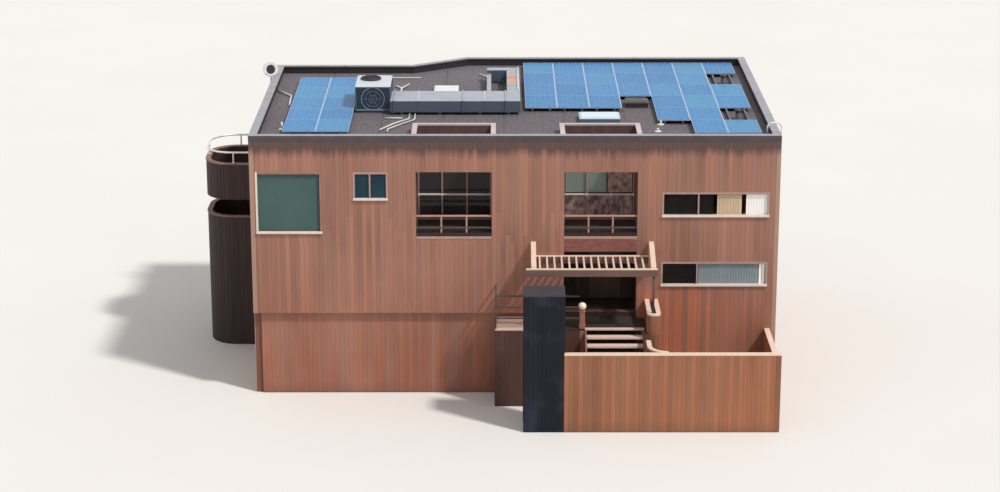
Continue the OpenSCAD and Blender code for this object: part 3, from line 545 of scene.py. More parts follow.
# Light wells. Two shafts, open at the roof and boarded in cedar on all four sides over their
# windows, with a boarded floor a little below the sills of the rooms. The boards' dark colour
# is painted shade.
inner_front_y = -0.05
well_back_y = 1.25
well_top = 8.20
well_runs = []
for left, right in wells:
    well_runs += [
        ((left, inner_front_y), (left, well_back_y), second_z, well_top),
        ((right, well_back_y), (right, inner_front_y), second_z, well_top),
        ((left, well_back_y), (right, well_back_y), head_z, well_top),
        ((right, inner_front_y), (left, inner_front_y), head_z, well_top),
    ]
# Painted shade: the wells' cedar is much darker than the house's.
clad("cladding_light_wells", cedar_finish("well_cedar", (118, 86, 80), (118, 86, 80)), well_runs)


def wood_finish(name, light, dark, stretch=(1, 1, 0.07), **caps):
    """Wood with long grain."""
    return coat(name, 10.0, light, dark, 0.55, 0.22, stretch, 4.0, 0.003, **caps)


dress(
    wood_finish("plain_cedar", (148, 98, 78), (112, 74, 60)),
    "light_well_walls", "light_well_headers", "landing_skirt",
)

# Entry. A deep recess with boarded sides and back, a riser board under its sill, and a cedar
# door with two sunk panels in a frame. The boards, lining, riser and door frame are dark with
# painted shade.
ceiling_z = 4.95
# Painted shade: the colour of the recess's boards and lining.
entry_door_x = (2.35, 3.30)
shaded_cedar = (58, 38, 33)
clad("cladding_entry", cedar_finish("entry_cedar_painted_shade", shaded_cedar, shaded_cedar), [
    ((entry_left, inner_front_y), (entry_left, well_back_y), first_z, ceiling_z),
    ((entry_right, well_back_y), (entry_right, inner_front_y), first_z, ceiling_z),
    (
        (entry_left, well_back_y), (entry_right, well_back_y), first_z, ceiling_z,
        [(*entry_door_x, first_z, 4.70)],
    ),
])
entry_lining_painted_shade = wood_finish("entry_lining_painted_shade", shaded_cedar, (44, 30, 26))
dress(entry_lining_painted_shade, "entry_side_walls", "entry_back_wall")
# The riser board carries the entry's painted shade.
riser = bmesh.new()
add_box(riser, (entry_left, -0.132, 2.502), (entry_right, -0.118, 2.648))
bevel_long(riser, 1.0, 0.003)
make_piece("entry_riser", riser, "cedar", entry_lining_painted_shade)

# Painted shade: the door's frame and leaf are darkened to the recess's shade.
door_paint = Finish("door_paint")
door_leaf = door_paint.within(X=(2.401, 3.249), Z=(-beyond, 4.649))
door_knob = door_paint.axis("Y") < 1.248
door_grain = door_paint.noise(10.0, (1, 1, 0.08), 4.0)
door_wood = door_paint.mix(door_grain, (60, 38, 30), (80, 50, 38))
door_colour = door_paint.mix(door_leaf, (74, 54, 46), door_wood)
door_colour = door_paint.mix(door_knob, door_colour, (190, 180, 160))
door_relief = door_paint.bump(door_grain * door_leaf, 0.002)
dress(door_paint.give(door_colour, 0.5 - 0.22 * door_knob, door_relief, Metallic=door_knob), "entry_door")

# Windows. Painted wood frames with pale sills, each with one sheet of glass. The sills and the
# picture window's left jamb are pale, partly with painted light, and the rest of the picture
# window's frame is brown with painted shade. Those in the light wells are red-brown.
frame_paint = Finish("frame_paint")
frame_wear = frame_paint.noise(6.0, (1, 1, 0.4))
on_front = {"Y": (-beyond, 0.0)}
on_back = {"Y": (9.0, beyond)}
at_right = {"X": (4.4, beyond), "Y": (-beyond, 10.5)}
picture_left = -7.79
picture_right = -5.80
# Painted shade on the picture window's frame, and painted light on its left jamb and the sills.
shade_on_picture_frame = frame_paint.within(X=(picture_left, picture_right), Z=(5.27, beyond), **on_front)
pale_or_lit = frame_paint.within(X=(-beyond, picture_left), **on_front)
for sill, limits in (
    (second_z, {"X": (-beyond, picture_right), **on_front}),
    (sliding_sill, {"X": (-5.0, -3.7), **on_front}),
    *((sill, at_right) for sill in strip_sills),
    *((sill, on_back) for sill in back_sills),
):
    pale_or_lit += frame_paint.within(Z=(sill - 0.01, sill + 0.062), **limits)
frame_dull = frame_paint.mix(frame_wear, (182, 154, 144), (152, 126, 118))
frame_painted_shade = frame_paint.mix(frame_wear, (168, 124, 108), (132, 96, 86))
frame_pale_or_lit = frame_paint.mix(frame_wear, (240, 228, 216), (208, 194, 184))
frame_colour = frame_paint.mix(pale_or_lit.at_most(1.0), frame_dull, frame_pale_or_lit)
frame_colour = frame_paint.mix(shade_on_picture_frame, frame_colour, frame_painted_shade)
frame_paint.give(frame_colour, 0.4 + 0.2 * frame_wear, frame_paint.bump(frame_wear, 0.001))
dress(frame_paint.material, "window_frames", "deck_doors")
# Painted light: the pale band lifts the transoms out of the wells' shade.
well_frames = wood_finish(
    "well_frames", (184, 140, 132), (146, 102, 96),
    cap=((244, 226, 216), (220, 198, 188)), bands=[{"Z": (5.96, 6.05)}],
)
dress(well_frames, "light_well_windows")

window_glass = Finish("window_glass")
ripple = window_glass.noise(1.6)
glass_colour = window_glass.mix(ripple, (36, 36, 38), (60, 56, 54))
# Painted reflection: the glass left of the middle of the front is tinted blue-teal.
glass_painted_reflection = window_glass.mix(ripple, (10, 36, 54), (34, 74, 88))
at_left = window_glass.within(X=(-beyond, 0.0), **on_front)
over_blind = window_glass.within(X=(1.0, beyond), Y=(-beyond, 1.6))
for across, upward in (
    ((-7.9, picture_right), (5.0, 8.0)), ((5.62, 7.8), (3.0, 5.0)), ((6.02, 7.8), (5.0, 7.0)),
):
    over_blind += window_glass.within(X=across, Z=upward, **on_front)
window_glass.give(
    window_glass.mix(at_left, glass_colour, glass_painted_reflection), 0.04 + 0.03 * ripple,
    window_glass.bump(ripple, 0.01, 0.2), Alpha=0.82 - 0.66 * over_blind, Specular_IOR_Level=0.25,
)
dress(window_glass.material, "window_glass")

# Deck doors. Painted frames, each with a dark pane set back in it over a deep bottom rail, and
# fixed to the solid leaf behind.
door_face = -7.86
rail_h = 0.30
pane_y = (5.42, 6.08)
pane_top = 1.90
door_trim = bmesh.new()
door_panes = bmesh.new()
for floor_z in (first_z, second_z):
    for near, far, low, high in (
        (5.31, pane_y[0], 0.02, 2.03), (pane_y[1], 6.19, 0.02, 2.03),
        (*pane_y, 0.02, rail_h), (*pane_y, pane_top, 2.03),
    ):
        add_box(door_trim, (door_face - 0.018, near, floor_z + low), (door_face, far, floor_z + high))
    add_box(
        door_panes, (door_face - 0.008, pane_y[0], floor_z + rail_h),
        (door_face - 0.002, pane_y[1], floor_z + pane_top),
    )
bevel_long(door_trim, 0.2, 0.003)
make_piece("deck_door_frames", door_trim, "white_trim", frame_paint.material)
pane_glass = coat("door_pane_glass", 1.8, (26, 34, 38), (44, 54, 56), 0.05, 0.05)
make_piece("deck_door_panes", door_panes, "glass", pane_glass)


# Blinds. Upright rigid slats with a ribbed face hang from a rail behind the picture window,
# behind parts of the two strip windows and in the right light well, each turned a little. Most
# glow a little with painted light.
def blind_finish(name, light, dark, painted_glow=0.0, spots=None):
    """A ribbed slat. Spots gives the scale of a mottle, and painted_glow a glow painted in for the
    daylight that falls on it.
    """
    slat = Finish(name)
    ribs = slat.noise(160.0, (1, 1, 0.3), 1.0)
    cloud = slat.fade(slat.noise(spots, (1, 1, 0.7)), 0.36, 0.64) if spots else slat.noise(1.4)
    colour = slat.mix(cloud * 0.7 + ribs * 0.3, light, dark)
    relief = slat.bump(ribs, 0.0006)
    return slat.give(colour, 0.8 + 0.1 * ribs, relief, Emission_Color=colour, Emission_Strength=painted_glow)


def turned(place, degrees=0.0, axis="Z"):
    """The matrix that turns a thing about an axis and then takes it to its place."""
    return Matrix.Translation(place) @ Matrix.Rotation(math.radians(degrees), 4, axis)


slat_w = 0.089
slat_t = 0.003
slat_turn = 14
stem = 0.012
rail_t = 0.018


def hang_blind(name, material, left, right, low, high, depth=0.05):
    blind = bmesh.new()
    y = front_y + depth
    rail_low = high - rail_t
    slat_top = rail_low - stem
    count = round((right - left) / (slat_w * 0.92))
    for number in range(count):
        x = left + (right - left) * (number + 0.5) / count
        place = turned((x, y, 0.0), slat_turn)
        add_box(blind, (-slat_w / 2, -slat_t / 2, low), (slat_w / 2, slat_t / 2, slat_top), place)
        add_box(blind, (-stem / 2, -stem / 2, slat_top), (stem / 2, stem / 2, rail_low), place)
    add_box(blind, (left, y - 0.02, rail_low), (right, y + 0.02, high))
    upright = [edge for edge in blind.edges if abs(edge.verts[0].co.z - edge.verts[1].co.z) > 0.2]
    bevel(blind, upright, 0.001)
    make_piece(name, blind, "white_trim", material)


green_slats = blind_finish("green_slats", (114, 144, 140), (88, 116, 108))
cream_slats = blind_finish("cream_slats", (218, 196, 166), (176, 152, 124), 0.06)
white_slats = blind_finish("white_slats", (236, 234, 230), (216, 214, 212), 0.2)
blue_slats = blind_finish("blue_slats", (142, 154, 158), (118, 130, 134), 0.03)
hang_blind("blind_picture_window", green_slats, -7.79, -5.91, 5.28, 7.06)
hang_blind("blind_upper_strip_cream", cream_slats, 6.14, 6.88, 5.78, 6.43)
hang_blind("blind_upper_strip_white", white_slats, 7.02, 7.66, 5.78, 6.43)
hang_blind("blind_lower_strip", blue_slats, 5.62, 7.44, 3.58, 4.23)
hang_blind("blind_lower_strip_white", white_slats, 7.46, 7.65, 3.58, 4.23)
well_blind = 1.58
# Painted reflection and shade: the pale grey-green slats stand in for the reflection in the well's glass,
# and the dark red mottle for the shade behind it.
well_slats_painted_reflection = blind_finish("well_slats_painted_reflection", (170, 182, 174), (146, 160, 152), 0.12)
hang_blind("blind_right_well", well_slats_painted_reflection, 1.58, 2.84, 6.06, 7.06, well_blind)
mottled_slats_painted_light_and_shade = blind_finish("mottled_slats_painted_light_and_shade", (214, 176, 166), (66, 42, 40), 0.15, spots=7.0)
hang_blind("blind_right_well_side", mottled_slats_painted_light_and_shade, 2.88, 3.64, 6.06, 7.06, well_blind)
hang_blind("blind_right_well_low", mottled_slats_painted_light_and_shade, 1.58, 3.64, 5.26, 5.98, well_blind)


# Floors. The storeys have narrow oiled boards, and the decks, landings and stair are of
# wider pale boards with open joints. Painted shade darkens the floors in the light wells and the
# entry, and the landing right of X = 1.3 m.
def plank_finish(name, across, width, light, dark, joint=0.006, painted_shade=None):
    """Boards laid side by side. Painted_shade gives the axis and the places between which a painted shade
    darkens them.
    """
    planks = Finish(name)
    along = planks.axis(across) / width
    shade = planks.add("ShaderNodeTexWhiteNoise", {"noise_dimensions": "1D"}, {"W": along.floor()})
    grain = planks.noise(16.0, (0.05, 1, 1) if across == "Y" else (1, 0.05, 1), 4.0)
    gap = (along % 1.0) < joint / width
    colour = planks.mix(shade * 0.5 + grain * 0.5, light, dark)
    if painted_shade:
        share = planks.fade(planks.axis(painted_shade[0]), painted_shade[1], painted_shade[2])
        colour = planks.mix(share * 0.96, colour, (26, 20, 19))
    colour = planks.mix(gap, colour, (60, 48, 40))
    return planks.give(colour, 0.5 + 0.25 * grain, planks.bump(grain * 0.2 - gap, 0.003))


storey_floor = plank_finish(
    "storey_floor", "Y", 0.09, (186, 150, 112), (150, 114, 82), painted_shade=("Y", 1.30, 1.25),
)
dress(storey_floor, "first_floor", "second_floor")
landing_wood = plank_finish(
    "landing_wood", "Y", 0.14, (232, 208, 190), (196, 168, 150), painted_shade=("X", 0.9, 1.3),
)
dress(landing_wood, "entry_landing")
dress(plank_finish("deck_wood", "X", 0.14, (206, 180, 160), (166, 140, 122)), "deck_floors")
tread_wood = plank_finish("tread_wood", "Z", 0.9, (244, 224, 214), (210, 184, 174), 0.0)
dress(tread_wood, "stair_treads")

# Pergola. A painted frame hung over the entry: the beams have a pale cap and a darker face
# that carries painted shade, and the slats and the raking ties are painted all over.
paint_cream = coat(
    "paint_cream", 7.0, (246, 224, 206), (206, 176, 156), 0.5, 0.3, detail=4.0, depth=0.002,
)
dress(paint_cream, "pergola_slats", "pergola_ties")
pale_cap = ((246, 224, 206), (216, 188, 170))
beam_wood = wood_finish(
    "beam_wood", (124, 94, 84), (88, 64, 56), (0.06, 1, 1), cap=pale_cap, bands=[{"Z": (4.47, beyond)}],
)
dress(beam_wood, "pergola_beams")

# Pergola ironwork. A galvanised cleat under each slat at the front beam, and two coach bolts
# with washers through each end of a tie.
zinc = coat("zinc", 24.0, (178, 182, 188), (140, 146, 154), 0.35, 0.25, metal=0.85)
ledger_left = 0.64
ledger_right = 4.08
pergola_reach = 1.46
beam_t = 0.09
beam_back_y = front_y - pergola_reach + beam_t
tie_w = 0.15
slat_count = 15
slat_pitch = (ledger_right - 0.10 - ledger_left) / slat_count
cleat_low = 4.38
cleat_w = 0.06
cleat_h = 0.08
cleat_t = 0.004
ironwork = bmesh.new()
for number in range(slat_count):
    left = ledger_left + slat_pitch * (number + 0.5) - cleat_w / 2
    right = left + cleat_w
    for start, end, low, high in (
        (left, right, cleat_low - cleat_t, cleat_low),
        (left, left + cleat_t, cleat_low, cleat_low + cleat_h),
        (right - cleat_t, right, cleat_low, cleat_low + cleat_h),
    ):
        add_box(ironwork, (start, beam_back_y, low), (end, beam_back_y + 0.07, high))


def add_cone(bm, place, bottom, top, height, sides):
    """A cone or a many-sided block that stands on its place and rises along its own Z."""
    lift = Matrix.Translation((0.0, 0.0, height / 2))
    bmesh.ops.create_cone(
        bm, cap_ends=True, segments=sides, radius1=bottom, radius2=top, depth=height,
        matrix=place @ lift,
    )


def add_bolt(bm, place, axis, radius=0.014):
    """A washer and a hexagon head, lying against a face that looks along axis."""
    washer_t = 0.003
    turn = Vector(axis).to_track_quat("Z", "Y").to_matrix().to_4x4()
    seat = Matrix.Translation(place) @ turn
    add_cone(bm, seat, radius * 1.6, radius * 1.6, washer_t, 16)
    add_cone(bm, seat @ Matrix.Translation((0.0, 0.0, washer_t)), radius, radius, 0.01, 6)


for x, way in ((ledger_left - tie_w, -1), (ledger_right + tie_w, 1)):
    for y, z in ((-0.31, 4.86), (-0.31, 4.42), (-1.64, 4.46), (-1.64, 4.32)):
        add_bolt(ironwork, (x, y, z), (way, 0.0, 0.0))
make_piece("pergola_ironwork", ironwork, "roof_metal", zinc)

# Entry stair. Cedar skirts and stringers, pale treads, dark stained rails, and a newel post
# with a round opal lamp.
skirt_top = 2.44
skirt_y = -1.35
# Painted shade: the skirt's cedar is darkened for the shade of the screen and the pergola.
clad("cladding_landing_skirt", cedar_finish("skirt_cedar", (108, 68, 56), (92, 58, 48)), [
    ((skirt_left, skirt_y), (1.96, skirt_y), foot_z, skirt_top),
    ((skirt_left, ground_y), (skirt_left, skirt_y), foot_z, skirt_top),
])

nosing_left = 2.12
nosing_right = 3.92
nosing_top = landing_z + 0.006
nosing = bmesh.new()
add_box(nosing, (nosing_left, skirt_y - 0.018, 2.452), (nosing_right, skirt_y, nosing_top))
add_box(nosing, (nosing_left, skirt_y, 2.498), (nosing_right, -1.25, nosing_top))
bevel_long(nosing, 1.0, 0.004, 2)
make_piece("landing_nosing", nosing, "pale_wood", tread_wood)

lying_grain = (1, 0.2, 0.2)
stringer_wood = wood_finish("stringer_wood", (150, 98, 74), (110, 72, 56), lying_grain)
dress(stringer_wood, "stair_stringers")
dark_stain = wood_finish("dark_stain", (94, 76, 72), (62, 50, 50))
dress(dark_stain, "landing_rail")

newel_x = 2.04
newel_y = -1.27
newel_half = 0.08
newel_top = 3.08
newel = bmesh.new()
for low, high, half, chamfer in (
    (0.0, skirt_top, newel_half, 0.008),
    (landing_z, newel_top - 0.03, newel_half, 0.008),
    (landing_z, 2.62, newel_half + 0.012, 0.006),
    (newel_top - 0.05, newel_top - 0.012, newel_half + 0.015, 0.006),
):
    points = add_box(newel, (newel_x - half, newel_y - half, low), (newel_x + half, newel_y + half, high))
    bevel(newel, sorted(edges_of(points), key=lambda edge: edge.index), chamfer, 2)
newel_wood = wood_finish("newel_wood", (176, 126, 108), (140, 94, 78))
make_piece("newel_post", newel, "cedar", newel_wood, replaced="newel_lamp")

globe_r = 0.122
lamp_globe = bmesh.new()
globe_place = Matrix.Translation((newel_x, newel_y, newel_top + globe_r - 0.005))
bmesh.ops.create_uvsphere(lamp_globe, u_segments=32, v_segments=20, radius=globe_r, matrix=globe_place)
for face in lamp_globe.faces:
    face.smooth = True
for bottom, top, low, high in ((0.055, 0.055, -0.012, 0.012), (0.045, 0.062, 0.012, 0.03)):
    add_cone(lamp_globe, turned((newel_x, newel_y, newel_top + low)), bottom, top, high - low, 32)
opal = Finish("opal_glass")
opal_cloud = opal.noise(6.0)
opal_colour = opal.mix(opal_cloud, (250, 240, 226), (240, 222, 200))
lamp_foot = opal.axis("Z") < newel_top + 0.028
opal.give(opal.mix(lamp_foot, opal_colour, (150, 120, 90)), 0.18 + 0.1 * opal_cloud)
make_piece("newel_lamp_globe", lamp_globe, "white_trim", opal.material, replaced="newel_lamp")

# Stair screws. Galvanised steel. Two countersunk screws go down through either end of each
# tread into the stringers.
tread_count = 5
step_run = 0.26
step_rise = 0.19
screws = bmesh.new()
for step in range(1, tread_count + 1):
    y = skirt_y - step_run * (step - 0.5)
    for x in (2.20, 3.84):
        for shift in (-0.07, 0.07):
            place = turned((x, y + shift, landing_z - step_rise * step))
            add_cone(screws, place, 0.011, 0.009, 0.003, 10)
make_piece("tread_screws", screws, "roof_metal", zinc)


# Court. Cedar boards on both faces of the front wall, of the return and of the curved wall
# beside the stair, under pale painted caps.
def arc(centre, radius, start, end, steps=7):
    """Points in plan along an arc, given in degrees."""
    turns = [math.radians(start + (end - start) * step / steps) for step in range(steps + 1)]
    return [(centre[0] + radius * math.cos(t), centre[1] + radius * math.sin(t)) for t in turns]


def path_runs(points, low, high):
    """The runs of a wall that bends, one after another."""
    return [(start, end, low, high) for start, end in zip(points, points[1:])]


court_top = 2.41
return_top = 2.10
court_y = -3.55
court_inner_y = -3.43
court_left = 1.44
court_right = 7.82
court_inner_right = 7.70
over_turning_landing = 1.38
curve_centre = (4.52, -2.83)
curve_left = 3.92
curve_inner_left = 4.04
yard_cedar = cedar_finish("yard_cedar", (186, 124, 90), (186, 118, 84), bleach_tone=0.12)
clad("cladding_court", yard_cedar, [
    ((court_left, court_y), (court_right, court_y), foot_z, court_top),
    (
        (court_right, court_y), (court_right, front_y), foot_z, court_top,
        [(court_inner_y, beyond, return_top, beyond)],
    ),
    ((court_inner_right, front_y), (court_inner_right, court_inner_y), foot_z, return_top),
    ((court_inner_right, court_inner_y), (curve_centre[0], court_inner_y), foot_z, court_top),
    ((curve_left, court_inner_y), (court_left, court_inner_y), over_turning_landing, court_top),
])
clad("cladding_curved_wall", yard_cedar, [
    *path_runs([(curve_left, front_y), *arc(curve_centre, 0.60, 180, 262)], foot_z, court_top),
    *path_runs([*arc(curve_centre, 0.48, 270, 180), (curve_inner_left, -1.752)], foot_z, court_top),
])


def cap_band(wall_top):
    """The heights of a 50 mm cap on a wall."""
    return {"Z": (wall_top - 0.001, wall_top + 0.051)}


court_wood = wood_finish(
    "court_wall", (148, 98, 78), (112, 74, 60), cap=pale_cap,
    bands=[cap_band(return_top), cap_band(court_top)],
)
dress(court_wood, "court_walls")

# Hollow pier. It runs out from the house beside the landing and has a pale cap, cedar boards
# on its outside and boards inside that are dark with painted shade.
pier_top = 3.05
pier_low = 2.46
pier_r = 0.15
left_centre = (4.15, -1.65)
pier_right = [*arc((4.22, -1.65), pier_r, 270, 360, 4), (4.37, front_y)]
pier_left = [(4.00, front_y), *arc(left_centre, pier_r, 180, 270, 4)]
clad("cladding_pier", yard_cedar, [
    *path_runs([*pier_left, *pier_right], pier_low, pier_top),
    *path_runs([*arc(left_centre, pier_r, 223, 270, 3), *pier_right], foot_z, pier_low),
])
pier_lining_painted_shade = wood_finish(
    "pier_lining_painted_shade", (78, 56, 48), (56, 40, 36), cap=pale_cap,
    # Painted shadow: the low cap is pale only in front of Y = -2.3, and behind that the pier's shadow is
    # painted dark.
    bands=[{**cap_band(court_top), "Y": (-beyond, -2.3)}, cap_band(pier_top)],
)
dress(pier_lining_painted_shade, "curved_wall")

# Dark screen. A tall boarded box over the foot of the stair, stained blue-black, with a
# lid of paler boards.
screen_top = 4.23
screen_left = 0.25
screen_back_y = -2.65
screen_way_y = (-3.50, -2.70)
blue_black = Finish("blue_black_stain")
screen_grain = blue_black.noise(12.0, (1, 1, 0.06), 4.0)
screen_shade = blue_black.tone() * 0.5 + screen_grain * 0.4
# Paler blue patches: partly bleached stain, partly a painted bluish sheen.
screen_bleach_and_sheen = blue_black.fade(blue_black.noise(1.1), 0.52, 0.75) * 0.4
screen_colour = blue_black.mix(screen_shade, (16, 18, 27), (32, 35, 48))
blue_black.give(
    blue_black.mix(screen_bleach_and_sheen, screen_colour, (64, 70, 92)), 0.4 + 0.25 * screen_grain,
    blue_black.bump(screen_grain, 0.003), Specular_IOR_Level=0.2,
)
clad("screen_boards", blue_black.material, [
    ((screen_left, court_y), (court_left, court_y), foot_z, screen_top),
    (
        (court_left, court_y), (court_left, screen_back_y), 2.48, screen_top,
        [(*screen_way_y, 2.0, 3.06)],
    ),
    ((court_left, screen_back_y), (screen_left, screen_back_y), foot_z, screen_top),
    (
        (screen_left, screen_back_y), (screen_left, court_y), foot_z, screen_top,
        [(*screen_way_y, 0.0, 2.10)],
    ),
], "dark_wood")
screen_frame = wood_finish(
    "screen_frame", (48, 46, 54), (28, 28, 34), (0.1, 1, 1),
    cap=((65, 62, 70), (44, 41, 49)), bands=[{"Z": (screen_top, beyond)}],
)
dress(screen_frame, "screen_walls", "screen_ends")

# Side decks. Rounded walls with narrow boards on both faces under their caps, and a steel
# rail on posts over the upper one.
deck_near = 4.50
deck_far = 7.00
deck_wall_t = 0.10
deck_r = 0.90
inner_r = deck_r - deck_wall_t
deck_bend_x = -9.10
near_centre = (deck_bend_x, 5.40)
far_centre = (deck_bend_x, 6.10)
deck_outer = [
    (-half_w, deck_far), *arc(far_centre, deck_r, 90, 180, 11), *arc(near_centre, deck_r, 180, 270, 11),
    (-half_w, deck_near),
]
deck_inner = [
    (-half_w, deck_near + deck_wall_t), *arc(near_centre, inner_r, 270, 180, 10),
    *arc(far_centre, inner_r, 180, 90, 10), (-half_w, deck_far - deck_wall_t),
]
deck_runs = []
for low, floor_top, high in ((foot_z, 2.60, 4.355), (4.94, 5.15, 6.105)):
    deck_runs += path_runs(deck_outer, low, high)
    deck_runs += path_runs(deck_inner, floor_top, high)
# Painted shade: the decks' cedar is darkened to the shade they stand in.
clad("cladding_decks", cedar_finish("deck_cedar", (66, 47, 43), (48, 34, 31)), deck_runs)
deck_wood = wood_finish(
    "deck_wall_wood", (120, 82, 68), (88, 60, 50),
    cap=((150, 116, 104), (112, 84, 76)), bands=[{"Z": (4.354, 4.391)}, {"Z": (6.104, 6.141)}],
)
dress(deck_wood, "lower_deck_wall", "upper_deck_wall")

steel = coat("satin_steel", 30.0, (236, 236, 238), (206, 208, 212), 0.28, 0.15, (1, 1, 0.3), metal=0.35)
dress(steel, "deck_rail")
up = (0.0, 0.0, 1.0)
flange_low = 6.158
flange_t = 0.012
flanges = bmesh.new()
for x, y in ((-9.04, 4.55), (-9.04, 6.95), (-9.95, 5.75)):
    add_cone(flanges, turned((x, y, flange_low)), 0.05, 0.046, flange_t, 24)
    for spot_x, spot_y in arc((x, y), 0.036, 45, 315, 3):
        add_bolt(flanges, (spot_x, spot_y, flange_low + flange_t), up, 0.005)
make_piece("deck_rail_flanges", flanges, "steel_pipe", steel)

# Roof. Grey sheet roofing in lapped widths, dusty and stained, inside a metal coping. The caps
# on the walls round the light wells are painted pale.
sheet_w = 1.9
lap_w = 0.05
roofing = Finish("roofing")
on_lap = ((roofing.axis("X") + 0.35) / sheet_w % 1.0) < lap_w / sheet_w
roof_dust = roofing.noise(0.35, detail=5.0)
roof_grain = roofing.noise(5.0, detail=6.0)
roof_colour = roofing.mix(roof_dust * 0.6 + roof_grain * 0.4, (78, 68, 74), (106, 99, 103))
roof_specks = roofing.fade(roofing.noise(13.0, detail=2.0), 0.5, 0.66)
roof_blots = roofing.fade(roofing.noise(7.0, detail=4.0), 0.42, 0.3)
for share, tint in (
    (roofing.fade(roofing.axis("Y"), 3.0, 9.0) * 0.4, (98, 97, 104)),
    (roof_specks * 0.45, (150, 144, 148)),
    (roof_blots * 0.6, (46, 38, 44)),
    (on_lap * 0.45, (64, 56, 61)),
):
    roof_colour = roofing.mix(share, roof_colour, tint)
roof_relief = roofing.bump(roof_grain * 0.3 + on_lap, 0.004)
dress(roofing.give(roof_colour, 0.75 + 0.15 * roof_grain, roof_relief), "roof_deck")

coping_metal = Finish("coping_metal")
dust = coping_metal.noise(2.5, detail=5.0)
shaded_edge_colour = coping_metal.mix(dust, (84, 74, 78), (68, 60, 64))
lit_top_colour = coping_metal.mix(dust, (170, 169, 177), (140, 139, 147))
cap_colour = coping_metal.mix(dust, (214, 198, 202), (184, 168, 174))
# Painted light and shade: the coping's top is light and its edges dark, though both are one metal.
coping_colour = coping_metal.mix(coping_metal.looks(up), shaded_edge_colour, lit_top_colour)
for across in ((-3.2, -0.5), (1.3, 3.9)):
    by_well = coping_metal.within(X=across, Y=(-0.03, 1.45))
    coping_colour = coping_metal.mix(by_well, coping_colour, cap_colour)
coping_metal.give(coping_colour, 0.45 + 0.3 * dust, Metallic=0.15 + 0.1 * dust)
dress(coping_metal.material, "roof_coping")

# Coping joints. A folded strip of the coping's own metal covers each of its joints, about every
# three metres, and is pressed over its edge.
house_z = 8.25
joint_half = 0.045
joint_t = 0.003
lip = 0.025
coping_joints = bmesh.new()
for degrees, places in (
    (0, [(x, front_y) for x in (-6.45, -3.35, 0.30, 4.30, 6.30)]),
    (90, [(half_w, y) for y in (2.5, 5.4, 8.2)]),
    (-90, [(-half_w, y) for y in (2.5, 5.4, 8.2)]),
    (180, [(-5.7, back_left_y), (0.9, back_right_y), (4.2, back_right_y)]),
):
    for place in places:
        wall_face = turned((*place, 0.0), degrees)
        outer = -lip - joint_t
        plate_end = (joint_half, 0.2 + lip, house_z + joint_t)
        add_box(coping_joints, (-joint_half, outer, house_z), plate_end, wall_face)
        add_box(coping_joints, (-joint_half, outer, 8.06), (joint_half, -lip, house_z), wall_face)
make_piece("coping_joints", coping_joints, "flashing", coping_metal.material)

# Solar panels. Framed glass panels, six cells wide and nine or ten long, on aluminium rails
# with end clamps.
panel_w = 1.005
panel_l = 1.65
left_panel_l = 1.48
panel_low = 8.11
panel_t = 0.04
panel_top = panel_low + panel_t
panel_gap = 0.02
frame_face = 0.014
cells_across = 6
column_step = panel_w + panel_gap
left_group_x = -7.10
left_group_y = 0.75
right_group_x = 0.36
right_group_back_y = 10.55
panel_places = [
    (left_group_x + column * column_step, left_group_y + row * (left_panel_l + panel_gap), left_panel_l, 9)
    for column in range(2)
    for row in range(5)
]
vent_places = [(6, 1), (6, 4)]
for column, row_count in enumerate((4, 4, 4, 3, 5, 6, 6)):
    for row in range(row_count):
        if (column, row) not in vent_places:
            y = right_group_back_y - (row + 1) * (panel_l + panel_gap) + panel_gap
            panel_places.append((right_group_x + column * column_step, y, panel_l, 10))
panels = bmesh.new()
cell_map = panels.loops.layers.uv.new("cells")
panel_tone = panels.faces.layers.float.new("tone")
panel_shades = random.Random(5)
for x, y, length, rows in panel_places:
    points = add_box(panels, (x, y, panel_low), (x + panel_w, y + length, panel_top))
    shade = panel_shades.random()
    top = max(faces_of(points), key=lambda face: face.calc_center_median().z)
    bmesh.ops.inset_region(panels, faces=[top], thickness=frame_face)
    sunk = bmesh.ops.inset_region(panels, faces=[top], thickness=0.001, depth=-0.002)["faces"]
    top.material_index = 1
    for face in sunk:
        face.material_index = 0
    for face in faces_of(points) | {top}:
        face[panel_tone] = shade
    for loop in top.loops:
        across = (loop.vert.co.x - x - frame_face) / (panel_w - 2 * frame_face)
        along = (loop.vert.co.y - y - frame_face) / (length - 2 * frame_face)
        loop[cell_map].uv = (across * cells_across, along * rows)

panel_frame = coat("panel_frame", 20.0, (166, 186, 214), (140, 162, 194), 0.4, 0.2, metal=0.2)
panel_cells = Finish("panel_cells")
cell_uv = panel_cells.add("ShaderNodeUVMap", {"uv_map": "cells"})
cell_u = panel_cells.axis("X", cell_uv)
cell_v = panel_cells.axis("Y", cell_uv)
in_cell = 1.0
for part in (cell_u % 1.0, cell_v % 1.0):
    in_cell = (part > 0.02) * (part < 0.98) * in_cell
busbar = (((cell_u * 3.0 + 0.5) % 1.0) < 0.05) * in_cell
cell_number = cell_u.floor() + cell_v.floor() * 7.0
cell_shade = panel_cells.add("ShaderNodeTexWhiteNoise", {"noise_dimensions": "1D"}, {"W": cell_number})
cell_tone = panel_cells.tone()
cell_colour = panel_cells.mix(cell_shade * 0.4 + cell_tone * 0.6, (42, 114, 172), (76, 140, 194))
teal_share = panel_cells.fade(cell_tone, 0.78, 1.0) * 0.32
cell_colour = panel_cells.mix(teal_share, cell_colour, (82, 150, 162))
line_share = (1.0 - in_cell) * 0.55 + busbar * 0.35
panel_cells.give(
    panel_cells.mix(line_share, cell_colour, (136, 176, 214)), 0.22 + 0.06 * cell_tone,
    panel_cells.bump(1.0 - in_cell, 0.0004, 0.3), Specular_IOR_Level=0.03,
)
make_piece(
    "solar_panels_framed", panels, "solar_panel", panel_frame, panel_cells.material,
    replaced="solar_panels",
)
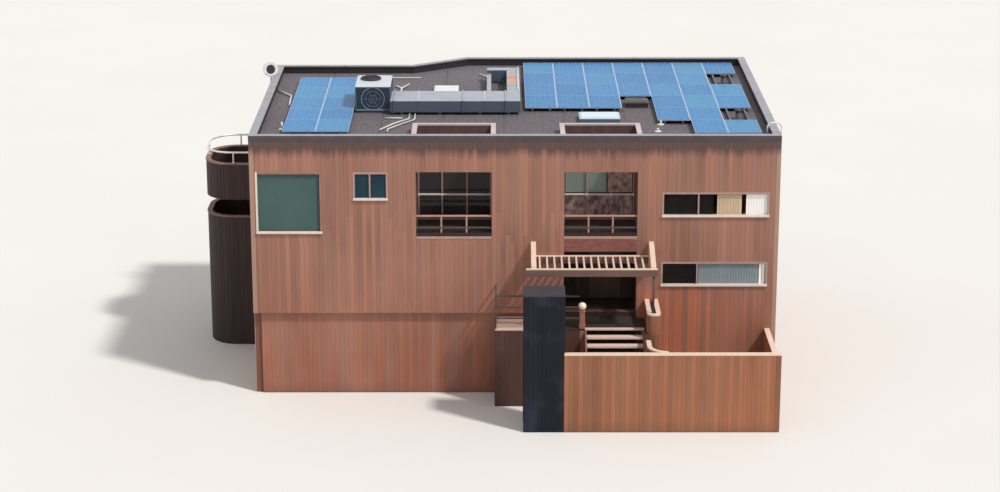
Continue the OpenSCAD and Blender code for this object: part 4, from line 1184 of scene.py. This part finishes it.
# Painted shade: the rails are darker than the clamps' metal, for the shade under the panels.
rail_bar_painted_shade = coat("rail_bar_painted_shade", 14.0, (96, 100, 110), (70, 72, 82), 0.4, 0.25, metal=0.2)
dress(rail_bar_painted_shade, "solar_rails")

clamp_half = 0.02
clamps = bmesh.new()
for x, y, length, rows in panel_places:
    right = x + panel_w
    for clamp_x in (x + 0.22 * panel_w, x + 0.78 * panel_w):
        for near in (y - 0.012, y + length - 0.002):
            clamp_end = (clamp_x + clamp_half, near + 0.014, panel_top + 0.004)
            add_box(clamps, (clamp_x - clamp_half, near, panel_top), clamp_end)
    if any(abs(other[0] - x - column_step) < 0.01 for other in panel_places):
        strip_end = (right + panel_gap - 0.001, y + length, panel_top - 0.004)
        add_box(clamps, (right + 0.001, y, panel_low + 0.01), strip_end)
rail_metal = coat("rail_metal", 14.0, (206, 218, 238), (180, 192, 214), 0.35, 0.25, metal=0.2)
make_piece("panel_clamps", clamps, "roof_metal", rail_metal)


# Air unit. A coated steel case on two feet, with a louvred side, a round wire guard in front
# of its coil and a guarded fan on top.
def sheet_metal(name, top, side, stained=False):
    """Coated metal: paler where it looks up and darker and bluer on its sides, as painted light and shade,
    and rusty if stained.
    """
    sheet = Finish(name)
    upward = sheet.looks(up)
    smear = sheet.noise(3.0, detail=5.0)
    # Painted light and shade: the faces that look up take the pale top colour, and the others the dark
    # side colour.
    shade = sheet.mix(smear * 0.3, sheet.mix(upward, side, top), (92, 96, 104))
    if stained:
        along = sheet.axis("Y") + smear
        rust = sheet.within(X=(-0.17, 0.15)) * sheet.fade(along, 6.1, 6.5) * sheet.fade(along, 8.2, 7.8)
        shade = sheet.mix(rust * upward * 0.8, shade, (206, 148, 112))
    return sheet.give(shade, 0.4 + 0.25 * smear, Metallic=0.1 + 0.1 * smear)


def roof_piece(name, bm, *materials):
    """A metal piece that takes over from one of the solid blocks on the roof."""
    make_piece(name, bm, "roof_metal", *materials, replaced="roof_unit")


unit_metal = sheet_metal("unit_metal", (214, 222, 230), (80, 98, 118))
unit_low = Vector((-5.03, 3.75, 8.06))
unit_high = Vector((-3.91, 5.45, 8.84))
unit_middle = unit_low.lerp(unit_high, 0.5)
origin = (0.0, 0.0, 0.0)
unit = bmesh.new()
case_faces = faces_of(add_box(unit, unit_low, unit_high))
for face in sorted(case_faces, key=lambda face: tuple(face.calc_center_median())):
    if abs(face.normal.z) < 0.5:
        bmesh.ops.inset_region(unit, faces=[face], thickness=0.05)
        bmesh.ops.inset_region(unit, faces=[face], thickness=0.008, depth=-0.03)
louvre_count = 11
louvre_tilt = -38
louvre_margin = 0.08
louvre_pitch = (unit_high.z - unit_low.z - 2 * louvre_margin) / louvre_count
reach = (unit_high.y - unit_low.y) / 2 - 0.06
for number in range(louvre_count):
    z = unit_low.z + louvre_margin + louvre_pitch * (number + 0.5)
    tilt = turned((unit_low.x + 0.016, unit_middle.y, z), -90) @ turned(origin, louvre_tilt, "X")
    add_box(unit, (-reach, -0.019, -0.002), (reach, 0.019, 0.002), tilt)
for y in (3.79, 5.29):
    add_box(unit, (unit_low.x + 0.03, y, roof_z), (unit_high.x - 0.03, y + 0.12, unit_low.z))
edges = [edge for edge in unit.edges if edge.calc_length() > 0.7 and edge.calc_face_angle(0.0) > 1.5]
bevel(unit, edges, 0.004, 2)
roof_piece("air_unit_case", unit, unit_metal)


def turn_shape(bm, outline, centre, steps=32, closed=False):
    """Turns an outline of (radius, height) points round an upright line."""
    x, y, z = centre
    points = [bm.verts.new((x + radius, y, z + height)) for radius, height in outline]
    pairs = list(zip(points, points[1:]))
    if closed:
        pairs.append((points[-1], points[0]))
    edges = [bm.edges.new(pair) for pair in pairs]
    bmesh.ops.spin(
        bm, geom=points + edges, cent=centre, axis=up, angle=math.tau, steps=steps, use_merge=True,
    )


def add_ring(bm, inner, outer, low, high, centre, steps=32):
    outline = [(inner, low), (outer, low), (outer, high), (inner, high)]
    turn_shape(bm, outline, centre, steps, closed=True)


def add_disc(bm, radius, low, high, centre, steps=32):
    turn_shape(bm, [(0.0, high), (radius, high), (radius, low), (0.0, low)], centre, steps)


def close(bm, smooth=True):
    """Turns every face outwards and rounds the shading of all but the flat ends."""
    bmesh.ops.remove_doubles(bm, verts=bm.verts, dist=0.00005)
    bmesh.ops.recalc_face_normals(bm, faces=bm.faces)
    for face in bm.faces:
        face.smooth = smooth and len(face.verts) == 4


black_plastic = coat("black_plastic", 8.0, (34, 36, 40), (58, 60, 66), 0.5, 0.2)
fan_place = Vector((-4.582, 4.906, unit_high.z))
fan_r = 0.30
fan_rim = [
    (fan_r + 0.03, 0.0), (fan_r + 0.03, 0.045), (fan_r + 0.012, 0.058), (fan_r, 0.058),
    (fan_r, 0.002), (fan_r - 0.02, 0.002),
]
fan_guard = bmesh.new()
turn_shape(fan_guard, fan_rim, fan_place, 48, closed=True)
for ring in range(1, 8):
    radius = fan_r * ring / 8
    add_ring(fan_guard, radius - 0.004, radius + 0.004, 0.046, 0.054, fan_place)
for spoke in range(8):
    spoke_end = (fan_r + 0.005, 0.004, 0.047)
    add_box(fan_guard, (0.03, -0.004, 0.040), spoke_end, turned(fan_place, 45 * spoke))
add_disc(fan_guard, 0.045, 0.036, 0.056, fan_place, 24)
close(fan_guard, smooth=False)
roof_piece("air_unit_fan_guard", fan_guard, black_plastic)

ring_r = 0.37
coil_guard = bmesh.new()
for radius, wire in ((ring_r, 0.012), (0.25, 0.003), (0.13, 0.003)):
    add_ring(coil_guard, radius - wire, radius, 0.0, 0.010, origin)
for spoke in range(6):
    add_box(coil_guard, (0.02, -0.002, 0.001), (ring_r - 0.005, 0.002, 0.006), turned(origin, 60 * spoke))
close(coil_guard, smooth=False)
upright = turned((unit_middle.x, unit_low.y + 0.012, unit_middle.z), 90, "X")
bmesh.ops.transform(coil_guard, matrix=upright, verts=coil_guard.verts)
guard_wire = sheet_metal("guard_wire", (210, 222, 234), (184, 200, 214))
roof_piece("air_unit_coil_guard", coil_guard, guard_wire)

blade_count = 5
blade_pitch = 22
fan_blades = bmesh.new()
for blade in range(blade_count):
    around = turned(fan_place + Vector((0.0, 0.0, 0.02)), 360 / blade_count * blade)
    place = around @ turned(origin, blade_pitch, "X")
    add_box(fan_blades, (0.05, -0.045, -0.002), (fan_r - 0.02, 0.045, 0.002), place)
add_disc(fan_blades, 0.06, 0.002, 0.034, fan_place, 24)
add_disc(fan_blades, fan_r, 0.001, 0.004, fan_place)
close(fan_blades, smooth=False)
roof_piece("air_unit_fan", fan_blades, black_plastic)

fin_count = 60
fin_margin = 0.06
coil = bmesh.new()
for number in range(fin_count):
    share = (number + 0.5) / fin_count
    x = unit_low.x + fin_margin + (unit_high.x - unit_low.x - 2 * fin_margin) * share
    fin_end = (x + 0.003, unit_low.y + 0.030, unit_high.z - fin_margin)
    add_box(coil, (x - 0.003, unit_low.y + 0.014, unit_low.z + fin_margin), fin_end)
roof_piece("air_unit_coil", coil, sheet_metal("coil_metal", (72, 98, 128), (54, 76, 104)))

# Duct. A flat sheet-metal duct on sleepers, with the finish of the air unit: painted light makes
# its top pale and its sides dark. Each seam has a flange round it, and bolts hold the duct's sides.
dress(sheet_metal("duct_metal", (172, 178, 189), (80, 92, 108), stained=True), "roof_duct")
duct_low = 8.09
duct_top = 8.45
duct_y = (3.45, 4.90)
branch_x = (-0.22, 0.20)
main_left = -3.91
flange_w = 0.03
seam_t = 0.012
duct_parts = bmesh.new()


def add_seam(place, near, far_side):
    """A flange over the duct's top and down both sides, drawn with the duct along X."""
    for low_y, high_y, low_z in (
        (near - seam_t, near, duct_low), (near - seam_t, far_side + seam_t, duct_top),
        (far_side, far_side + seam_t, duct_low),
    ):
        add_box(duct_parts, (0.0, low_y, low_z), (flange_w, high_y, duct_top + seam_t), place)


for x in (-3.05, -0.95):
    add_seam(turned((x, 0.0, 0.0)), *duct_y)
for y in (5.7, 6.9):
    add_seam(turned((0.0, y + flange_w, 0.0), -90), *branch_x)
for share in (0.02, 0.55, 0.88):
    x = main_left + share * (branch_x[1] - main_left) + 0.02
    for y, way in ((duct_y[0] - 0.026, -1.0), (duct_y[1] + 0.026, 1.0)):
        for rise in (0.06, 0.18, 0.30):
            add_bolt(duct_parts, (x, y, duct_low + rise), (0.0, way, 0.0), 0.008)
bevel_long(duct_parts, 0.3, 0.002)
make_piece("duct_flanges", duct_parts, "roof_metal", unit_metal)


# Roof boxes. Coated sheet-metal boxes screwed down to the roof: a low access box, a skylight
# whose lid slopes up to a pale pane, and a vent curb with a hipped lid, dark with painted shade.
def add_lidded_box(bm, low, high, lid, rise, overhang=0.02):
    """A box with a lid that overhangs it and slopes up to a smaller top."""
    eaves = high[2] - rise
    add_box(bm, low, (high[0], high[1], eaves - lid))
    points = add_box(
        bm, (low[0] - overhang, low[1] - overhang, eaves - lid),
        (high[0] + overhang, high[1] + overhang, eaves),
    )
    top = max(faces_of(points), key=lambda face: face.calc_center_median().z)
    bmesh.ops.inset_region(bm, faces=[top], thickness=0.10, depth=rise)
    return top


access_box = bmesh.new()
add_lidded_box(access_box, (-2.58, 6.32, roof_z), (-1.82, 7.08, 8.15), 0.03, 0.02)
roof_piece("roof_boxes", access_box, sheet_metal("box_metal", (236, 240, 246), (150, 158, 170)))

curb = bmesh.new()
add_lidded_box(curb, (3.59, 4.42, roof_z), (4.29, 5.08, 8.20), 0.04, 0.04)
curb_metal_painted_shade = sheet_metal("curb_metal_painted_shade", (58, 48, 50), (40, 32, 34))
roof_piece("roof_curb", curb, curb_metal_painted_shade)

skylight = bmesh.new()
skylight_top = add_lidded_box(skylight, (2.04, 2.32, roof_z), (3.28, 3.18, 8.18), 0.05, 0.03)
skylight_top.material_index = 1
skylight_frame = sheet_metal("skylight_frame", (196, 214, 232), (120, 134, 152))
skylight_pane = coat("skylight_pane", 4.0, (190, 216, 242), (214, 230, 246), 0.12, 0.2)
roof_piece("skylight_box", skylight, skylight_frame, skylight_pane)

# Vents. Two flues of coated steel stand where panels are left out, each on a base plate
# with a flashing cone and under a rain cap on three small legs. Their dark colour is painted shade.
vent_x = 7.0175
flue = [(0.19, 0.0), (0.185, 0.012), (0.105, 0.06), (0.088, 0.065), (0.088, 0.25), (0.0, 0.25)]
rain_cap = [(0.0, 0.28), (0.125, 0.28), (0.125, 0.295), (0.06, 0.335), (0.0, 0.35)]
vents = bmesh.new()
for y in (7.89, 2.88):
    vent_place = (vent_x, y, roof_z)
    turn_shape(vents, flue, vent_place)
    turn_shape(vents, rain_cap, vent_place)
    add_box(vents, (vent_x - 0.24, y - 0.24, roof_z), (vent_x + 0.24, y + 0.24, roof_z + 0.006))
    for leg in range(3):
        add_box(vents, (0.07, -0.008, 0.24), (0.082, 0.008, 0.285), turned(vent_place, 120 * leg))
close(vents)
roof_piece("roof_vents", vents, curb_metal_painted_shade)


# Roof pipes. White painted steel pipes and conduits, bent cold, lie on the roof round the duct
# and beside the left panels, and short stubs stand on it in flashing boots.
def only(kind, made):
    return [item for item in made if isinstance(item, kind)]


class Sweep:
    """Pushes a round profile along straight runs and bends, as a pipe is made."""

    def __init__(self, bm, radius, start, heading):
        self.bm = bm
        self.place = Vector(start)
        self.heading = Vector(heading)
        turn = self.heading.to_track_quat("Z", "Y").to_matrix().to_4x4()
        matrix = Matrix.Translation(self.place) @ turn
        made = bmesh.ops.create_circle(bm, cap_ends=True, segments=16, radius=radius, matrix=matrix)
        self.faces = list(faces_of(made["verts"]))

    def go(self, distance):
        made = bmesh.ops.extrude_face_region(self.bm, geom=self.faces)["geom"]
        step = self.heading * distance
        bmesh.ops.translate(self.bm, verts=only(bmesh.types.BMVert, made), vec=step)
        self.faces = only(bmesh.types.BMFace, made)
        self.place += step
        return self

    def bend(self, axis, degrees, radius, steps=8):
        axis = Vector(axis)
        centre = self.place + axis.cross(self.heading) * math.copysign(radius, degrees)
        angle = math.radians(degrees)
        made = bmesh.ops.spin(
            self.bm, geom=self.faces, cent=centre, axis=axis, angle=angle, steps=steps,
            use_duplicate=False,
        )["geom_last"]
        self.faces = only(bmesh.types.BMFace, made)
        turn = Matrix.Rotation(angle, 3, axis)
        self.place = centre + turn @ (self.place - centre)
        self.heading = turn @ self.heading
        return self


pipes = bmesh.new()


def lay(radius, points, z=8.05, corner=0.10):
    """Lays a pipe along points in plan, with a bend at each corner."""
    points = [Vector(point).to_3d() for point in points]
    steps = [end - start for start, end in zip(points, points[1:])]
    turns = [math.atan2(step.cross(after).z, step.dot(after)) for step, after in zip(steps, steps[1:])]
    cuts = [0.0, *(corner * math.tan(abs(turn) / 2) for turn in turns), 0.0]
    run = Sweep(pipes, radius, points[0] + Vector((0.0, 0.0, z)), steps[0].normalized())
    for step, cut_before, cut_after, turn in zip(steps, cuts, cuts[1:], [*turns, 0.0]):
        run.go(step.length - cut_before - cut_after)
        if turn:
            run.bend(up, math.degrees(turn), corner, 5)


lay(0.026, [(-3.30, 3.42), (-3.30, 2.75), (-3.75, 2.10), (-4.15, 1.30)])
lay(0.022, [(-3.12, 3.42), (-3.12, 2.65), (-3.55, 2.00), (-3.90, 1.40), (-3.90, 1.10)])
lay(0.020, [(-4.05, 2.85), (-3.50, 2.85)])
lay(0.030, [(-3.69, 6.45), (-3.69, 7.05), (-3.46, 7.65)])
lay(0.030, [(-3.69, 7.05), (-3.90, 7.45)])
lay(0.016, [(-4.70, 5.50), (-4.70, 8.65), (-3.10, 8.65)])
lay(0.024, [(-1.13, 9.25), (-0.80, 8.65)])
lay(0.028, [(-7.76, 6.75), (-7.24, 5.95), (-7.20, 4.65)])
lay(0.026, [(0.14, 5.00), (0.14, 8.30)], z=8.476)
close(pipes)
pipe_white = coat("pipe_white", 6.0, (232, 230, 228), (200, 198, 200), 0.35, 0.25)
make_piece("roof_conduits", pipes, "roof_metal", pipe_white)

boot = [(0.11, 0.0), (0.105, 0.01), (0.048, 0.03), (0.0355, 0.034)]
stubs = bmesh.new()
for x, y, height in ((-7.17, 1.60, 0.22), (4.40, 1.30, 0.10), (4.55, 2.20, 0.12)):
    Sweep(stubs, 0.035, (x, y, roof_z), up).go(height)
    turn_shape(stubs, boot, (x, y, roof_z))
close(stubs)
make_piece("roof_stubs", stubs, "roof_metal", pipe_white)

# Dish. A white painted dish with a dark middle, pressed from sheet. A bracket holds its short
# mast outside the left wall's coping.
dish_x = -8.12
dish_y = 8.30
dish_z = 8.42
dish_tilt = 72
mast_low = 8.02
bowl = [
    (0.0, 0.0), (0.10, 0.006), (0.18, 0.020), (0.25, 0.040), (0.255, 0.034), (0.18, 0.010),
    (0.10, -0.006), (0.0, -0.012),
]
dish = bmesh.new()
turn_shape(dish, bowl, origin)
Sweep(dish, 0.008, origin, up).go(0.20)
add_disc(dish, 0.028, 0.19, 0.25, origin, 16)
tilt = turned((dish_x, dish_y - 0.02, dish_z), dish_tilt, "X")
bmesh.ops.transform(dish, matrix=tilt, verts=dish.verts)
Sweep(dish, 0.022, (dish_x, dish_y, mast_low), up).go(dish_z - mast_low)
add_box(dish, (dish_x - 0.03, dish_y - 0.06, mast_low), (-half_w - board_t, dish_y + 0.06, 8.05))
close(dish)
dish_paint = Finish("dish_paint")
dish_dust = dish_paint.noise(5.0)
dish_across = dish_paint.axis("X") - dish_x
dish_up = dish_paint.axis("Z") - dish_z
in_middle = dish_across * dish_across + dish_up * dish_up < 0.022
dish_white = dish_paint.mix(dish_dust, (238, 238, 238), (206, 206, 210))
dish_paint.give(dish_paint.mix(in_middle, dish_white, (34, 34, 38)), 0.4 + 0.2 * dish_dust)
make_piece("roof_dish", dish, "roof_metal", dish_paint.material)

# Corner pipe. A painted swan-neck pipe climbs from the roof over the coping at the right front
# corner and runs down the side wall, held by brackets.
pipe_x = 8.053
pipe_y = 0.12
swan_x = 7.62
swan_r = 0.16
bracket_h = 0.025
back = (0.0, 1.0, 0.0)
corner_pipe = bmesh.new()
run = Sweep(corner_pipe, 0.026, (swan_x, pipe_y, roof_z), up)
run.go(0.40).bend(back, 90, swan_r).go(pipe_x - swan_x - 2 * swan_r).bend(back, 90, swan_r).go(8.30)
for z in (7.4, 6.0, 4.6, 3.2, 1.8, 0.6):
    add_box(corner_pipe, (8.018, pipe_y - 0.012, z), (pipe_x, pipe_y + 0.012, z + bracket_h))
    add_disc(corner_pipe, 0.0268, 0.0, bracket_h, (pipe_x, pipe_y, z))
close(corner_pipe)
make_piece("corner_pipe", corner_pipe, "white_trim", pipe_white)

# Rain pipe. A thin dark pipe hangs from the right end of the pergola down into the hollow
# pier, with a collar under the beam.
pipe_head = (4.16, -1.645, 4.26)
rain_pipe = bmesh.new()
Sweep(rain_pipe, 0.033, pipe_head, (0.0, 0.0, -1.0)).go(1.46)
add_disc(rain_pipe, 0.05, -0.025, 0.0, pipe_head, 16)
close(rain_pipe)
make_piece("rain_pipe", rain_pipe, "dark_wood", dark_stain)

# Light-well guards. A pale rail on two posts and a dark rail under it close the lower part of
# each well's front, and a pale sill board lies under them.
rail_side = 0.05
rail_y = -0.22
pale_rail_low = 5.705
dark_rail_low = 5.335
post_half = 0.025
guards = bmesh.new()
dark_rails = bmesh.new()
for left, right in wells:
    for rails, low in ((guards, pale_rail_low), (dark_rails, dark_rail_low)):
        add_box(rails, (left, rail_y, low), (right, rail_y + rail_side, low + rail_side))
    for share in (1 / 3, 2 / 3):
        x = left + (right - left) * share
        add_box(guards, (x - post_half, -0.215, second_z), (x + post_half, -0.175, pale_rail_low))
    add_box(guards, (left, front_y - 0.03, 5.02), (right, front_y, 5.10))
bevel_long(guards, 0.5, 0.004)
bevel_long(dark_rails, 0.5, 0.004)
make_piece("light_well_low_rails", dark_rails, "cedar", dark_stain)
guard_wood = wood_finish("guard_wood", (196, 156, 142), (156, 120, 108), lying_grain)
make_piece("light_well_guards", guards, "cedar", guard_wood)

# Panel over the entry. Dark red stained slats, fixed to the wall between the ledger and the
# sill, each a little tilted so that it sheds rain.
slat_half = 0.024
slat_reach = 1.11
slat_rise = 0.053
slat_tilt = 10.313
lowest_slat_z = 4.62
entry_x = 2.61
slats = bmesh.new()
for number in range(7):
    slat_z = lowest_slat_z + slat_rise * number + slat_half
    tilt = turned((entry_x, front_y - 0.009, slat_z), slat_tilt, "X")
    add_box(slats, (-slat_reach, -0.006, -slat_half), (slat_reach, 0.006, slat_half), tilt)
red_slats = wood_finish("red_slats", (176, 116, 106), (104, 62, 56), (0.5, 1, 1))
make_piece("entry_panel_slats", slats, "cedar", red_slats)
